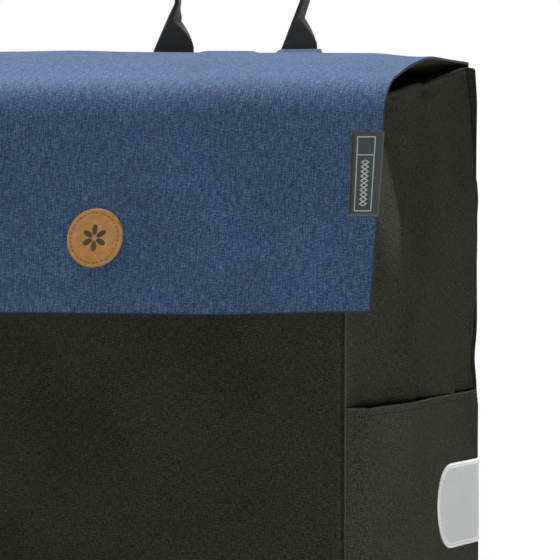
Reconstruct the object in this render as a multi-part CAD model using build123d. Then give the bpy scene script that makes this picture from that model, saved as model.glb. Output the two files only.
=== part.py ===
from build123d import *
import math
import os

# Two-wheeled shopping trolley: a soft bag with a folding flap on a tube frame with a telescopic handle.
# Millimetres, +Z up, floor at Z = 0, the bag's front faces -Y, origin under the middle of the whole object.

# Stance
HALF_LENGTH = 208.5        # middle to the hem of the flap, and to the back of the wheels
WHEEL_RADIUS = 100.0
WHEEL_X = 222.0            # middle plane of each wheel
AXLE_Y = HALF_LENGTH - WHEEL_RADIUS
AXLE_Z = WHEEL_RADIUS
AXLE_RADIUS = 5.0

# Bag
BAG_DEPTH = 270.0
BAG_BACK_Y = AXLE_Y - 36.0
BAG_FRONT_Y = BAG_BACK_Y - BAG_DEPTH
BAG_FRONT_HALF = 182.4     # half width at the front seam
BAG_MIDDLE_HALF = 192.0    # half width where the side panel bulges most
BAG_BACK_HALF = 191.5      # half width where the back corners start to turn
BACK_CORNER = 24.0         # outer radius of the back corners
BACK_SEAM_Y = BAG_BACK_Y - 28.0  # the back panel wraps round to a seam on each side
CLOTH = 2.0                # lined and padded panel
BAG_BASE_Z = 89.0
LEAN_START_Z = 506.0       # above this the front panel leans back
RIM_Z = 614.0              # front rim, the side panels rise from it to the back panel
RIM_FRONT_Y = BAG_FRONT_Y + 33.0
BACK_TOP_Z = 644.0
BOARD = 3.0                # stiff board in the bottom

# Side pockets and their reflective patches
POCKET_TOP_Z = 415.5
POCKET_BASE_Z = 95.0
POCKET_CLOTH = 1.6
POCKET_MIDDLE_HALF = 201.5
POCKET_INSET = 2.0         # from the bag's front seam
POCKET_GAP = 0.4
PATCH_BOTTOM_Z = 311.6
PATCH_TOP_Z = 370.1
PATCH_FRONT_Y = BAG_BACK_Y - 126.0
PATCH_CORNER = 29.0
PATCH_THICKNESS = 0.8

# Flap
FLAP_HALF = 204.0
FLAP_BACK_HALF = 182.0     # the flap narrows over the bag to its sewn back edge
FLAP_CLOTH = 2.5
FLAP_TOP_Z = 650.0
FLAP_HEM_Z = 477.0
FLAP_HEM_Y = -HALF_LENGTH
FLAP_FOLD_Y = BAG_FRONT_Y + 21.0      # sharp corner of the front fold, before rounding
FLAP_FOLD_Z = 626.0
FLAP_CREST_Y = BAG_FRONT_Y + 92.0     # where the slope behind the fold meets the level top
FLAP_FOLD_RADIUS = 26.0
FLAP_CREST_RADIUS = 120.0
FOLD_GAP = 0.3
BADGE_RADIUS = 20.0
BADGE_X = 7.2
BADGE_Z = 525.6
LABEL_WIDTH = 21.5
LABEL_HEIGHT = 55.5
LABEL_Z = 567.4
PAD_WIDTH = 46.0           # touch fastener pads of the closure
PAD_HEIGHT = 20.0
PAD_X = 105.0
PAD_THICKNESS = 1.2
PAD_Z = FLAP_HEM_Z + 12.0

# Carry strap
STRAP_X = 49.0
STRAP_WIDTH = 30.0
STRAP_THICKNESS = 2.0
STRAP_FOOT_Z = 596.0
STRAP_HINGE_Z = 646.0
STRAP_FOLDED_Z = 696.0     # above this the webbing is folded in half lengthwise
STRAP_TOP_Z = 752.0
STRAP_FRONT_Y = BAG_BACK_Y + 1.0
STRAP_ARCH = STRAP_X - 4.0
GRIP_FOLD_DEPTH = 14.0
GRIP_FOLD_THICKNESS = 5.0

# Tube frame
TUBE_X = 120.0
TUBE_RADIUS = 12.5
TUBE_WALL = 1.5
TUBE_BOTTOM_Z = 120.0
TUBE_TOP_Z = 562.0
BRIDGE_TOP_Z = 588.0
BRIDGE_BOTTOM_Z = 534.0
COLLAR_RADIUS = 17.5
BAR_Z = 559.0              # bar of the bridge between the collars
BAR_DEPTH = 20.0
BAR_HEIGHT = 30.0
BAR_RECESS = 168.0
LOOP_HEIGHTS = (205.0, 455.0)
LOOP_SEAM = 16.0
BRACE_Z = 330.0
BRACE_RADIUS = 8.0
SHELF_Z = 76.4
SHELF_RADIUS = 7.0
SHELF_WALL = 1.4
SHELF_BACK_Y = AXLE_Y - 14.0
SOCKET_RADIUS = 18.0       # moulded bracket: outside of the upright socket
SOCKET_TOP_Z = 168.0
SOCKET_FRONT_Y = AXLE_Y - 58.0
SHELF_SOCKET = 11.0
BOSS_RADIUS = 17.0
BOSS_HALF = 22.0
GUSSET = 10.0
STAND_Y = -175.0
STAND_BAR_Z = 12.0
ROD_RADIUS = 3.0
ROD_COUNT = 4
ROD_FIRST_Y = -138.0
ROD_STEP = 56.0
FOOT_X = 70.0
BOLT_RADIUS = 2.5
HEAD_RADIUS = 5.0
HEAD = 3.0
TUBE_BOLT_Z = TUBE_BOTTOM_Z + 8.0
SHELF_BOLT_Y = AXLE_Y - 48.0

# Telescopic handle
LEG_RADIUS = 10.0
LEG_WALL = 1.5
LEG_BOTTOM_Z = 156.0
BOW_TOP_Z = 632.0
BOW_BEND = 42.0
GRIP_LENGTH = 150.0
GRIP_COLLAR = 12.0         # plain end of the grip
GRIP_RADIUS = 14.5
GRIP_RIB = 1.2
GRIP_RIBS = 11
PLUG_LENGTH = 20.0
SLIDE_CLEARANCE = 0.08

# Clamp levers on the collars
CLAMP_Z = 577.0
CLAMP_Y = AXLE_Y + 26.0
EAR_HALF = 9.0
EAR_SLIT = 3.0
CLAMP_WASHER = 1.2
CAM_RADIUS = 7.0
CAM_OFFSET = 0.6
CAM_GAP = 0.3
EYE_RADIUS = 5.5
EYE_WIDTH = 6.0
LEVER_WIDTH = 18.0
LEVER_LENGTH = 62.0
LEVER_THICKNESS = 6.0
LEVER_FLICK = 3.5          # how far the tip of the blade stands out
PIN_RADIUS = 2.0

# Wheels
HUB_HALF = 18.5
HUB_RADIUS = 20.0
BEARING_OUTER = 13.0
BEARING_WIDTH = 8.0
RIM_SEAT = 78.0
RIM_FLANGE = 82.0
RIM_HALF = 15.0
RIM_INNER = 71.0
SPOKES = 6
SPOKE_WIDTH = 15.0
TYRE_HALF = 16.8
WASHER = 1.3
CLIP = 1.2
CAP_DEPTH = 9.0
CAP_WALL = 1.8
AXLE_END_X = WHEEL_X + HUB_HALF + WASHER + CLIP + 2.5


def along_x(radius, x0, x1, y, z):
    """Cylinder along X."""
    return Pos((x0 + x1) / 2, y, z) * Rot(0, 90, 0) * Cylinder(radius, abs(x1 - x0))


def along_y(radius, y0, y1, x, z):
    """Cylinder along Y."""
    return Pos(x, (y0 + y1) / 2, z) * Rot(90, 0, 0) * Cylinder(radius, abs(y1 - y0))


def along_z(radius, z0, z1, x, y):
    """Cylinder along Z."""
    return Pos(x, y, (z0 + z1) / 2) * Cylinder(radius, abs(z1 - z0))


def block(x0, x1, y0, y1, z0, z1):
    """Box between two corners."""
    return Pos((x0 + x1) / 2, (y0 + y1) / 2, (z0 + z1) / 2) * Box(abs(x1 - x0), abs(y1 - y0), abs(z1 - z0))


def across(face, half_width):
    """Extrude a face drawn in (Y, Z) to both sides of the middle plane."""
    return extrude(Plane.YZ * face, amount=half_width, both=True)


def turned(points, centre_x):
    """Solid of revolution about the axle from a closed outline of (x, radius) points."""
    face = make_face(Polyline(*points, close=True))
    return Pos(centre_x, AXLE_Y, AXLE_Z) * revolve(Plane.XZ * face, Axis.X)


def bent_tube(path, radius, wall):
    """Round tube swept along a path."""
    section = Circle(radius) - Circle(radius - wall)
    return sweep(Plane(origin=path @ 0, z_dir=path % 0) * section, path=path)


def bow(side, front, middle, back, front_y, back_y):
    """Plan curve of a bulging side panel."""
    middle_y = (front_y + back_y) / 2
    return ThreePointArc((side * front, front_y), (side * middle, middle_y), (side * back, back_y))


def strip_between(outer, inner):
    """Face between two plan curves that run the same way."""
    return make_face([outer, Line(outer @ 1, inner @ 1), inner, Line(inner @ 0, outer @ 0)])


def bag_bow(side, growth):
    """Plan curve of the bag's side up to the back corner, moved outwards by a growth."""
    return bow(side, BAG_FRONT_HALF + growth, BAG_MIDDLE_HALF + growth, BAG_BACK_HALF + growth,
               BAG_FRONT_Y, BAG_BACK_Y - BACK_CORNER)


def bag_plan(inset):
    """Plan of the bag with round back corners, its sides and back moved inwards by an inset."""
    right = bag_bow(1, -inset)
    left = bag_bow(-1, -inset)
    centre_x = BAG_BACK_HALF - BACK_CORNER
    centre_y = BAG_BACK_Y - BACK_CORNER
    right_corner = CenterArc((centre_x, centre_y), BACK_CORNER - inset, 0, 90)
    left_corner = CenterArc((-centre_x, centre_y), BACK_CORNER - inset, 90, 90)
    back = Line(right_corner @ 1, left_corner @ 0)
    return make_face([right, right_corner, back, left_corner, left, Line(left @ 0, right @ 0)])


def bag_inside_prism():
    """Tall prism between the inner faces of the bag's sides and back."""
    return Pos(0, 0, BAG_BASE_Z) * extrude(bag_plan(CLOTH), amount=BACK_TOP_Z - BAG_BASE_Z, dir=(0, 0, 1))


def bag_wall():
    """Sides and back in one, before the seams part them."""
    ring = bag_plan(0) - bag_plan(CLOTH)
    return Pos(0, 0, BAG_BASE_Z) * extrude(ring, amount=BACK_TOP_Z - BAG_BASE_Z, dir=(0, 0, 1))


def bag_front_panel():
    outside = [(BAG_FRONT_Y, BAG_BASE_Z), (BAG_FRONT_Y, LEAN_START_Z), (RIM_FRONT_Y, RIM_Z)]
    inside = [(y + CLOTH, z) for y, z in reversed(outside)]
    face = make_face(Polyline(*outside, *inside, close=True))
    return across(face, BAG_MIDDLE_HALF) & bag_inside_prism()


def bag_back_panel():
    """Back panel, which wraps round both corners to the side seams."""
    behind = block(-FLAP_HALF, FLAP_HALF, BACK_SEAM_Y, BAG_BACK_Y + 1, BAG_BASE_Z, BACK_TOP_Z)
    return bag_wall() & behind


def bag_side_panel(side):
    before_seam = block(0, side * FLAP_HALF, BAG_FRONT_Y - 1, BACK_SEAM_Y, BAG_BASE_Z, BACK_TOP_Z)
    sky = BACK_TOP_Z + 20
    rim = [(BAG_FRONT_Y, LEAN_START_Z), (RIM_FRONT_Y, RIM_Z), (BACK_SEAM_Y, BACK_TOP_Z)]
    above = [(BACK_SEAM_Y, sky), (BAG_FRONT_Y - 20, sky), (BAG_FRONT_Y - 20, LEAN_START_Z)]
    return (bag_wall() & before_seam) - across(make_face(Polyline(*rim, *above, close=True)), FLAP_HALF)


def bag_base_panel():
    y0 = BAG_FRONT_Y + CLOTH
    y1 = BAG_BACK_Y - CLOTH
    slab = block(-BAG_MIDDLE_HALF, BAG_MIDDLE_HALF, y0, y1, BAG_BASE_Z, BAG_BASE_Z + CLOTH)
    return slab & bag_inside_prism()


def base_board():
    inset = 5.0
    z = BAG_BASE_Z + CLOTH
    plan = Pos(0, (BAG_FRONT_Y + BAG_BACK_Y) / 2) * RectangleRounded(
        2 * (BAG_FRONT_HALF - CLOTH - inset), BAG_DEPTH - 2 * (CLOTH + inset), 14)
    return Pos(0, 0, z) * extrude(plan, amount=BOARD)


def pocket_bow(side, growth):
    """Plan curve of a pocket's outer wall, moved inwards by a negative growth."""
    seam = POCKET_GAP + POCKET_CLOTH + growth
    return bow(side, BAG_FRONT_HALF + seam + 0.2, POCKET_MIDDLE_HALF + growth, BAG_BACK_HALF + seam + 0.2,
               BAG_FRONT_Y + POCKET_INSET, BAG_BACK_Y - BACK_CORNER)


def side_pocket(side):
    inside = pocket_bow(side, -POCKET_CLOTH)
    against = bow(side, BAG_FRONT_HALF + POCKET_GAP, BAG_MIDDLE_HALF + POCKET_GAP, BAG_BACK_HALF + POCKET_GAP,
                  BAG_FRONT_Y + POCKET_INSET, BAG_BACK_Y - BACK_CORNER)
    height = POCKET_TOP_Z - POCKET_BASE_Z
    wall = extrude(strip_between(pocket_bow(side, 0), inside), amount=height, dir=(0, 0, 1))
    floor = extrude(strip_between(inside, against), amount=POCKET_CLOTH, dir=(0, 0, 1))
    return Pos(0, 0, POCKET_BASE_Z) * (wall + floor)


def reflective_patch(side):
    strip = strip_between(pocket_bow(side, PATCH_THICKNESS), pocket_bow(side, 0))
    skin = Pos(0, 0, PATCH_BOTTOM_Z) * extrude(strip, amount=PATCH_TOP_Z - PATCH_BOTTOM_Z, dir=(0, 0, 1))
    length = BAG_BACK_Y - PATCH_FRONT_Y
    outline = Rectangle(length, PATCH_TOP_Z - PATCH_BOTTOM_Z)
    outline = fillet(outline.vertices().group_by(Axis.X)[0], PATCH_CORNER)
    placed = Pos((PATCH_FRONT_Y + BAG_BACK_Y) / 2, (PATCH_TOP_Z + PATCH_BOTTOM_Z) / 2) * outline
    return skin & across(placed, POCKET_MIDDLE_HALF + 20)


def flap_lean():
    """Angle of the hanging part of the flap from the upright."""
    return math.atan2(FLAP_FOLD_Y - FLAP_HEM_Y, FLAP_FOLD_Z - FLAP_HEM_Z)


def flap_slope():
    """Angle of the sloping part behind the front fold from the level."""
    return math.atan2(FLAP_TOP_Z - FLAP_FOLD_Z, FLAP_CREST_Y - FLAP_FOLD_Y)


def flap_line(inset):
    """Side view of the flap from the back edge to the hem, moved inwards by an inset."""
    lean = flap_lean()
    slope = flap_slope()
    fold_turn = math.pi / 2 - lean - slope
    back = (BAG_BACK_Y, FLAP_TOP_Z - inset)
    crest = (FLAP_CREST_Y + inset * math.tan(slope / 2), FLAP_TOP_Z - inset)
    reach = inset * math.tan(fold_turn / 2)
    fold = (FLAP_FOLD_Y + inset * math.cos(lean) - reach * math.sin(lean),
            FLAP_FOLD_Z - inset * math.sin(lean) - reach * math.cos(lean))
    hem = (FLAP_HEM_Y + inset * math.cos(lean), FLAP_HEM_Z - inset * math.sin(lean))
    radii = [FLAP_CREST_RADIUS - inset, FLAP_FOLD_RADIUS - inset]
    return FilletPolyline(back, crest, fold, hem, radius=radii)


def flap_split():
    """Point on the outside of the flap where the top meets the hanging front."""
    turn = math.pi / 2 - flap_lean() - flap_slope()
    tangent = FLAP_FOLD_RADIUS * math.tan(turn / 2)
    return (FLAP_FOLD_Y + tangent * math.cos(flap_slope()), FLAP_FOLD_Z + tangent * math.sin(flap_slope()))


def flap_sheet():
    outer = flap_line(0)
    inner = flap_line(FLAP_CLOTH)
    face = make_face([*outer.edges(), Line(outer @ 1, inner @ 1), *inner.edges(), Line(inner @ 0, outer @ 0)])
    plan = Polyline((FLAP_HALF, -2 * HALF_LENGTH), (FLAP_HALF, FLAP_CREST_Y), (FLAP_BACK_HALF, BAG_BACK_Y),
                    (-FLAP_BACK_HALF, BAG_BACK_Y), (-FLAP_HALF, FLAP_CREST_Y), (-FLAP_HALF, -2 * HALF_LENGTH),
                    close=True)
    return across(face, FLAP_HALF) & extrude(make_face(plan), amount=FLAP_TOP_Z + 1)


def beyond_split(towards):
    """Space behind the split of the flap (1), or in front of it (-1), cut square to the sloping part."""
    y, z = flap_split()
    reach = 300.0
    half = Pos(0, towards * (reach + FOLD_GAP) / 2, 0) * Box(2 * FLAP_HALF + 10, reach, 2 * reach)
    return Pos(0, y, z) * Rot(math.degrees(flap_slope()), 0, 0) * half


def flap_top_panel():
    return flap_sheet() & beyond_split(1)


def flap_front_panel():
    return flap_sheet() & beyond_split(-1)


def on_flap(x, z, inside):
    """Plane on the hanging front of the flap, facing out, or in on its inner face."""
    lean = flap_lean()
    y = FLAP_HEM_Y + (z - FLAP_HEM_Z) * math.tan(lean)
    out = Vector(0, -math.cos(lean), math.sin(lean))
    origin = Vector(x, y, z)
    if inside:
        origin = origin - out * FLAP_CLOTH
        out = -out
    return Plane(origin=origin, x_dir=(1, 0, 0), z_dir=out)


def leather_badge():
    disc = extrude(Circle(BADGE_RADIUS), amount=1.8)
    disc = chamfer(disc.edges().group_by(Axis.Z)[-1], 0.5)
    return on_flap(BADGE_X, BADGE_Z, False) * disc


def woven_label():
    tag = extrude(RectangleRounded(LABEL_WIDTH, LABEL_HEIGHT, 1.0), amount=1.0)
    return on_flap(FLAP_HALF - LABEL_WIDTH / 2, LABEL_Z, False) * tag


def closure_hook_pads():
    pad = extrude(RectangleRounded(PAD_WIDTH, PAD_HEIGHT, 3), amount=PAD_THICKNESS)
    return [on_flap(side * PAD_X, PAD_Z, True) * pad for side in (-1, 1)]


def closure_loop_pads():
    pad = extrude(RectangleRounded(PAD_WIDTH, PAD_HEIGHT, 3), amount=PAD_THICKNESS)
    plane = Plane(origin=(0, BAG_FRONT_Y, PAD_Z), x_dir=(1, 0, 0), z_dir=(0, -1, 0))
    return [plane * Pos(side * PAD_X, 0) * pad for side in (-1, 1)]


def strap_tabs():
    half = STRAP_WIDTH / 2
    tab = block(-half, half, BAG_BACK_Y, BAG_BACK_Y + STRAP_THICKNESS, STRAP_FOOT_Z, STRAP_HINGE_Z - 0.5)
    return [Pos(side * STRAP_X, 0, 0) * tab for side in (-1, 1)]


def carry_strap():
    """Webbing loop: flat ends that fold in half lengthwise into a narrow arched grip."""
    grip_y = STRAP_FRONT_Y + GRIP_FOLD_DEPTH / 2
    flat_y = STRAP_FRONT_Y + STRAP_THICKNESS / 2
    path = FilletPolyline((-STRAP_X, grip_y, STRAP_FOLDED_Z), (-STRAP_X, grip_y, STRAP_TOP_Z),
                          (STRAP_X, grip_y, STRAP_TOP_Z), (STRAP_X, grip_y, STRAP_FOLDED_Z),
                          radius=STRAP_ARCH)
    section = RectangleRounded(GRIP_FOLD_THICKNESS, GRIP_FOLD_DEPTH, 1.5)
    strap = sweep(Plane(origin=path @ 0, x_dir=(1, 0, 0), z_dir=path % 0) * section, path=path)
    for side in (-1, 1):
        flat = Pos(side * STRAP_X, flat_y, STRAP_HINGE_Z) * Rectangle(STRAP_WIDTH, STRAP_THICKNESS)
        folded = Pos(side * STRAP_X, grip_y, STRAP_FOLDED_Z) * Rectangle(GRIP_FOLD_THICKNESS, GRIP_FOLD_DEPTH)
        strap += loft([flat, folded])
    return strap


def frame_loops():
    """Webbing loops sewn to the bag's back that hold it on the tubes."""
    inner = TUBE_RADIUS + 0.1
    outer = inner + STRAP_THICKNESS
    reach = AXLE_Y - BAG_BACK_Y
    inside = Circle(inner) + Pos(0, -reach / 2) * Rectangle(2 * inner, reach)
    outside = Circle(outer) + Pos(0, -reach / 2) * Rectangle(2 * outer, reach)
    seams = Pos(0, STRAP_THICKNESS / 2 - reach) * Rectangle(2 * (outer + LOOP_SEAM), STRAP_THICKNESS)
    loop = extrude((outside + seams) - inside, amount=STRAP_WIDTH)
    return [Pos(side * TUBE_X, AXLE_Y, z) * loop for side in (-1, 1) for z in LOOP_HEIGHTS]


def outer_tube(side):
    tube = along_z(TUBE_RADIUS, TUBE_BOTTOM_Z, TUBE_TOP_Z, side * TUBE_X, AXLE_Y)
    tube -= along_z(TUBE_RADIUS - TUBE_WALL, TUBE_BOTTOM_Z - 1, TUBE_TOP_Z + 1, side * TUBE_X, AXLE_Y)
    return tube - tube_bolt_shank(side)


def tube_bolt_shank(side):
    x = side * TUBE_X
    return along_x(BOLT_RADIUS, x - SOCKET_RADIUS - 4, x + SOCKET_RADIUS, AXLE_Y, TUBE_BOLT_Z)


def shelf_bolt_shank(side):
    return along_z(BOLT_RADIUS, SHELF_Z - SHELF_SOCKET, SHELF_Z, side * TUBE_X, SHELF_BOLT_Y)


def top_bridge():
    """Moulded bridge: two collars that guide the handle legs, split and eared for the clamps."""
    bar = Pos(0, AXLE_Y, BAR_Z) * Box(2 * TUBE_X, BAR_DEPTH, BAR_HEIGHT)
    bar = fillet(bar.edges().filter_by(Axis.X), 6)
    recess = extrude(Plane.XZ * RectangleRounded(BAR_RECESS, BAR_HEIGHT - 12, 6), amount=3, both=True)
    bridge = bar - Pos(0, AXLE_Y + BAR_DEPTH / 2, BAR_Z) * recess
    for step in (-1, 0, 1):
        bridge += Pos(step * BAR_RECESS / 3, AXLE_Y + BAR_DEPTH / 2 - 2, BAR_Z) * Box(3, 4, BAR_HEIGHT - 10)
    for side in (-1, 1):
        x = side * TUBE_X
        collar = along_z(COLLAR_RADIUS, BRIDGE_BOTTOM_Z, BRIDGE_TOP_Z, x, AXLE_Y)
        bridge += chamfer(collar.edges().filter_by(GeomType.CIRCLE), 1.5)
        ears = block(x - EAR_HALF, x + EAR_HALF, AXLE_Y + 8, CLAMP_Y + 10, CLAMP_Z - 11, BRIDGE_TOP_Z)
        bridge += fillet(ears.edges().filter_by(Axis.X).group_by(Axis.Y)[-1], 6)
    for side in (-1, 1):
        x = side * TUBE_X
        bridge -= along_z(TUBE_RADIUS, BRIDGE_BOTTOM_Z - 1, TUBE_TOP_Z, x, AXLE_Y)
        bridge -= along_z(LEG_RADIUS + SLIDE_CLEARANCE, TUBE_TOP_Z - 1, BRIDGE_TOP_Z + 1, x, AXLE_Y)
        half = EAR_SLIT / 2
        bridge -= block(x - half, x + half, AXLE_Y + 5, CLAMP_Y + 20, TUBE_TOP_Z + 3, BRIDGE_TOP_Z + 1)
        bridge -= along_x(BOLT_RADIUS, x - EAR_HALF - 1, x + EAR_HALF + 1, CLAMP_Y, CLAMP_Z)
    return bridge


def cross_brace():
    brace = along_x(BRACE_RADIUS, -TUBE_X, TUBE_X, AXLE_Y, BRACE_Z)
    brace -= along_x(BRACE_RADIUS - TUBE_WALL, -TUBE_X, TUBE_X, AXLE_Y, BRACE_Z)
    for side in (-1, 1):
        brace -= along_z(TUBE_RADIUS, BRACE_Z - 20, BRACE_Z + 20, side * TUBE_X, AXLE_Y)
    return brace


def axle_bracket(side):
    """Moulded foot of the frame: sockets for the upright tube and the shelf tube, boss for the axle."""
    x = side * TUBE_X
    gusset = Polyline((AXLE_Y - 12, SOCKET_TOP_Z - 6), (AXLE_Y - 33, AXLE_Z + 16), (AXLE_Y - 33, SHELF_Z + 9),
                      (SOCKET_FRONT_Y, SHELF_Z + 6), (SOCKET_FRONT_Y, SHELF_Z - 6), (AXLE_Y, SHELF_Z - 6),
                      (AXLE_Y + 13, AXLE_Z), (AXLE_Y + 14, SOCKET_TOP_Z - 6), close=True)
    body = Pos(x, 0, 0) * across(make_face(gusset), GUSSET / 2)
    body += along_z(SOCKET_RADIUS, TUBE_BOTTOM_Z - 8, SOCKET_TOP_Z, x, AXLE_Y)
    body += along_x(BOSS_RADIUS, x - BOSS_HALF, x + BOSS_HALF, AXLE_Y, AXLE_Z)
    body += along_y(SHELF_SOCKET, SOCKET_FRONT_Y, AXLE_Y - 6, x, SHELF_Z)
    body -= along_z(TUBE_RADIUS, TUBE_BOTTOM_Z, SOCKET_TOP_Z + 1, x, AXLE_Y)
    body -= along_x(AXLE_RADIUS, x - BOSS_HALF - 1, x + BOSS_HALF + 1, AXLE_Y, AXLE_Z)
    body -= along_y(SHELF_RADIUS, SOCKET_FRONT_Y - 1, SHELF_BACK_Y, x, SHELF_Z)
    return body - tube_bolt_shank(side) - shelf_bolt_shank(side)


def axle():
    rod = along_x(AXLE_RADIUS, -AXLE_END_X, AXLE_END_X, AXLE_Y, AXLE_Z)
    rod = chamfer(rod.edges().filter_by(GeomType.CIRCLE), 0.8)
    for side in (-1, 1):
        groove_x = side * (WHEEL_X + HUB_HALF + WASHER)
        groove = along_x(AXLE_RADIUS + 1, groove_x, groove_x + side * CLIP, AXLE_Y, AXLE_Z)
        rod -= groove - along_x(AXLE_RADIUS - 0.6, groove_x, groove_x + side * CLIP, AXLE_Y, AXLE_Z)
    return rod


def ring(inner, outer, x0, x1):
    """Ring about the axle between two places along X."""
    return turned([(x0, inner), (x1, inner), (x1, outer), (x0, outer)], 0)


def axle_sleeves():
    near = TUBE_X + BOSS_HALF
    far = WHEEL_X - HUB_HALF - WASHER
    return [ring(AXLE_RADIUS, 8.5, side * near, side * far) for side in (-1, 1)]


def axle_washers():
    places = [WHEEL_X - HUB_HALF - WASHER, WHEEL_X + HUB_HALF]
    return [ring(AXLE_RADIUS, 8.0, side * x, side * (x + WASHER)) for side in (-1, 1) for x in places]


def axle_clips():
    clips = []
    for side in (-1, 1):
        x = side * (WHEEL_X + HUB_HALF + WASHER)
        clip = ring(AXLE_RADIUS - 0.6, 8.5, x, x + side * CLIP)
        clips.append(clip - block(x - 3, x + 3, AXLE_Y - 3, AXLE_Y + 3, AXLE_Z, AXLE_Z + 12))
    return clips


def bearing_places():
    """Inner edge of each bearing along a wheel's own axis."""
    return [-HUB_HALF, HUB_HALF - BEARING_WIDTH]


def bearing_inner_rings():
    return [ring(AXLE_RADIUS, 7.5, side * WHEEL_X + x, side * WHEEL_X + x + BEARING_WIDTH)
            for side in (-1, 1) for x in bearing_places()]


def bearing_outer_rings(side):
    """Outer rings with their shields, pressed into the hub."""
    rings = []
    for x in bearing_places():
        x0 = side * WHEEL_X + x
        x1 = x0 + BEARING_WIDTH
        race = ring(10.5, BEARING_OUTER, x0, x1)
        race += ring(7.8, 11.0, x0 + 0.4, x0 + 1.2)
        rings.append(race + ring(7.8, 11.0, x1 - 1.2, x1 - 0.4))
    return rings


def hub_spacers():
    inner = HUB_HALF - BEARING_WIDTH
    return [ring(AXLE_RADIUS, 7.5, side * WHEEL_X - inner, side * WHEEL_X + inner) for side in (-1, 1)]


def spoke_window():
    """Opening between two spokes, drawn round the bisector between them."""
    half_step = math.pi / SPOKES
    apex = SPOKE_WIDTH / 2 / math.sin(half_step)
    reach = RIM_INNER * 1.2
    wedge = Polyline((apex, 0), (apex + reach * math.cos(half_step), reach * math.sin(half_step)),
                     (apex + reach * math.cos(half_step), -reach * math.sin(half_step)), close=True)
    window = (Circle(RIM_INNER - 4) - Circle(HUB_RADIUS + 7)) & make_face(wedge)
    return fillet(window.vertices(), 5)


def rim(side):
    """Spoked wheel body: bearing hub, tapered web with windows, and a channel for the tyre."""
    seat = HUB_HALF - BEARING_WIDTH
    hub = [(-HUB_HALF, BEARING_OUTER), (-seat, BEARING_OUTER), (-seat, 11), (seat, 11), (seat, BEARING_OUTER),
           (HUB_HALF, BEARING_OUTER), (HUB_HALF, HUB_RADIUS - 1.5), (HUB_HALF - 1.5, HUB_RADIUS),
           (9, HUB_RADIUS), (5, RIM_INNER), (RIM_HALF, RIM_INNER + 2), (RIM_HALF, RIM_FLANGE),
           (RIM_HALF - 2, RIM_FLANGE), (RIM_HALF - 2, RIM_SEAT)]
    far_side = [(-x, r) for x, r in reversed(hub[6:])]
    body = turned(hub + far_side, side * WHEEL_X)
    cutter = extrude(Plane.YZ * spoke_window(), amount=RIM_HALF, both=True)
    for step in range(SPOKES):
        body -= Pos(side * WHEEL_X, AXLE_Y, AXLE_Z) * Rot(360 * (step + 0.5) / SPOKES, 0, 0) * cutter
    return body


def tyre(side):
    """Foam tyre with a round shoulder and two tread grooves."""
    inner_half = RIM_HALF - 2.2
    crown = ThreePointArc((TYRE_HALF, 86), (0, WHEEL_RADIUS), (-TYRE_HALF, 86))
    rest = Polyline((-TYRE_HALF, 86), (-inner_half, RIM_FLANGE + 0.4), (-inner_half, RIM_SEAT),
                    (inner_half, RIM_SEAT), (inner_half, RIM_FLANGE + 0.4), (TYRE_HALF, 86))
    section = make_face([crown, *rest.edges()])
    for x in (-5.5, 5.5):
        section -= Pos(x, WHEEL_RADIUS - 1.5) * Rectangle(2.4, 5)
    return Pos(side * WHEEL_X, AXLE_Y, AXLE_Z) * revolve(Plane.XZ * section, Axis.X)


def hub_cap(side):
    """Domed cap, part of a hollow ball, that clips over the outer end of the hub."""
    skirt = HUB_HALF - 7
    edge = HUB_RADIUS + CAP_WALL
    ball = (edge ** 2 + CAP_DEPTH ** 2) / (2 * CAP_DEPTH)
    centre_x = HUB_HALF + CAP_DEPTH - ball
    outside = ball_arc(centre_x, ball, edge)
    inside = ball_arc(centre_x, ball - CAP_WALL, HUB_RADIUS)
    face = make_face([Line((skirt, HUB_RADIUS), (skirt, edge)), Line((skirt, edge), outside @ 0), outside,
                      Line(outside @ 1, inside @ 1), inside, Line(inside @ 0, (skirt, HUB_RADIUS))])
    cap = Pos(WHEEL_X, AXLE_Y, AXLE_Z) * revolve(Plane.XZ * face, Axis.X)
    if side < 0:
        cap = mirror(cap, about=Plane.YZ)
    return cap


def ball_arc(centre_x, radius, start_height):
    """Arc of a circle round a point on the axle, from a height down to the axle."""
    start = math.asin(start_height / radius)
    places = [(centre_x + radius * math.cos(turn), radius * math.sin(turn)) for turn in (start, start / 2, 0)]
    return ThreePointArc(*places)


def support_path():
    front_y = STAND_Y + 18
    points = [(-TUBE_X, SHELF_BACK_Y, SHELF_Z), (-TUBE_X, front_y, SHELF_Z), (-TUBE_X, STAND_Y, STAND_BAR_Z),
              (TUBE_X, STAND_Y, STAND_BAR_Z), (TUBE_X, front_y, SHELF_Z), (TUBE_X, SHELF_BACK_Y, SHELF_Z)]
    return FilletPolyline(*points, radius=[26, 24, 24, 26])


def support_frame():
    frame = bent_tube(support_path(), SHELF_RADIUS, SHELF_WALL)
    return frame - shelf_bolt_shank(-1) - shelf_bolt_shank(1)


def shelf_rods():
    """Cross rods welded on top of the shelf tubes, which carry the bag's bottom."""
    z = BAG_BASE_Z - ROD_RADIUS
    rods = []
    for step in range(ROD_COUNT):
        y = ROD_FIRST_Y + step * ROD_STEP
        rod = along_x(ROD_RADIUS, -TUBE_X - SHELF_RADIUS, TUBE_X + SHELF_RADIUS, y, z)
        for side in (-1, 1):
            rod -= along_y(SHELF_RADIUS, y - 20, y + 20, side * TUBE_X, SHELF_Z)
        rods.append(rod)
    return rods


def foot_pad(side):
    pad = Pos(side * FOOT_X, STAND_Y, 11) * Box(42, 26, 22)
    pad = fillet(pad.edges().filter_by(Axis.Z), 6)
    pad = chamfer(pad.edges().group_by(Axis.Z)[-1], 2)
    return pad - along_x(SHELF_RADIUS, side * FOOT_X - 22, side * FOOT_X + 22, STAND_Y, STAND_BAR_Z)


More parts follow.
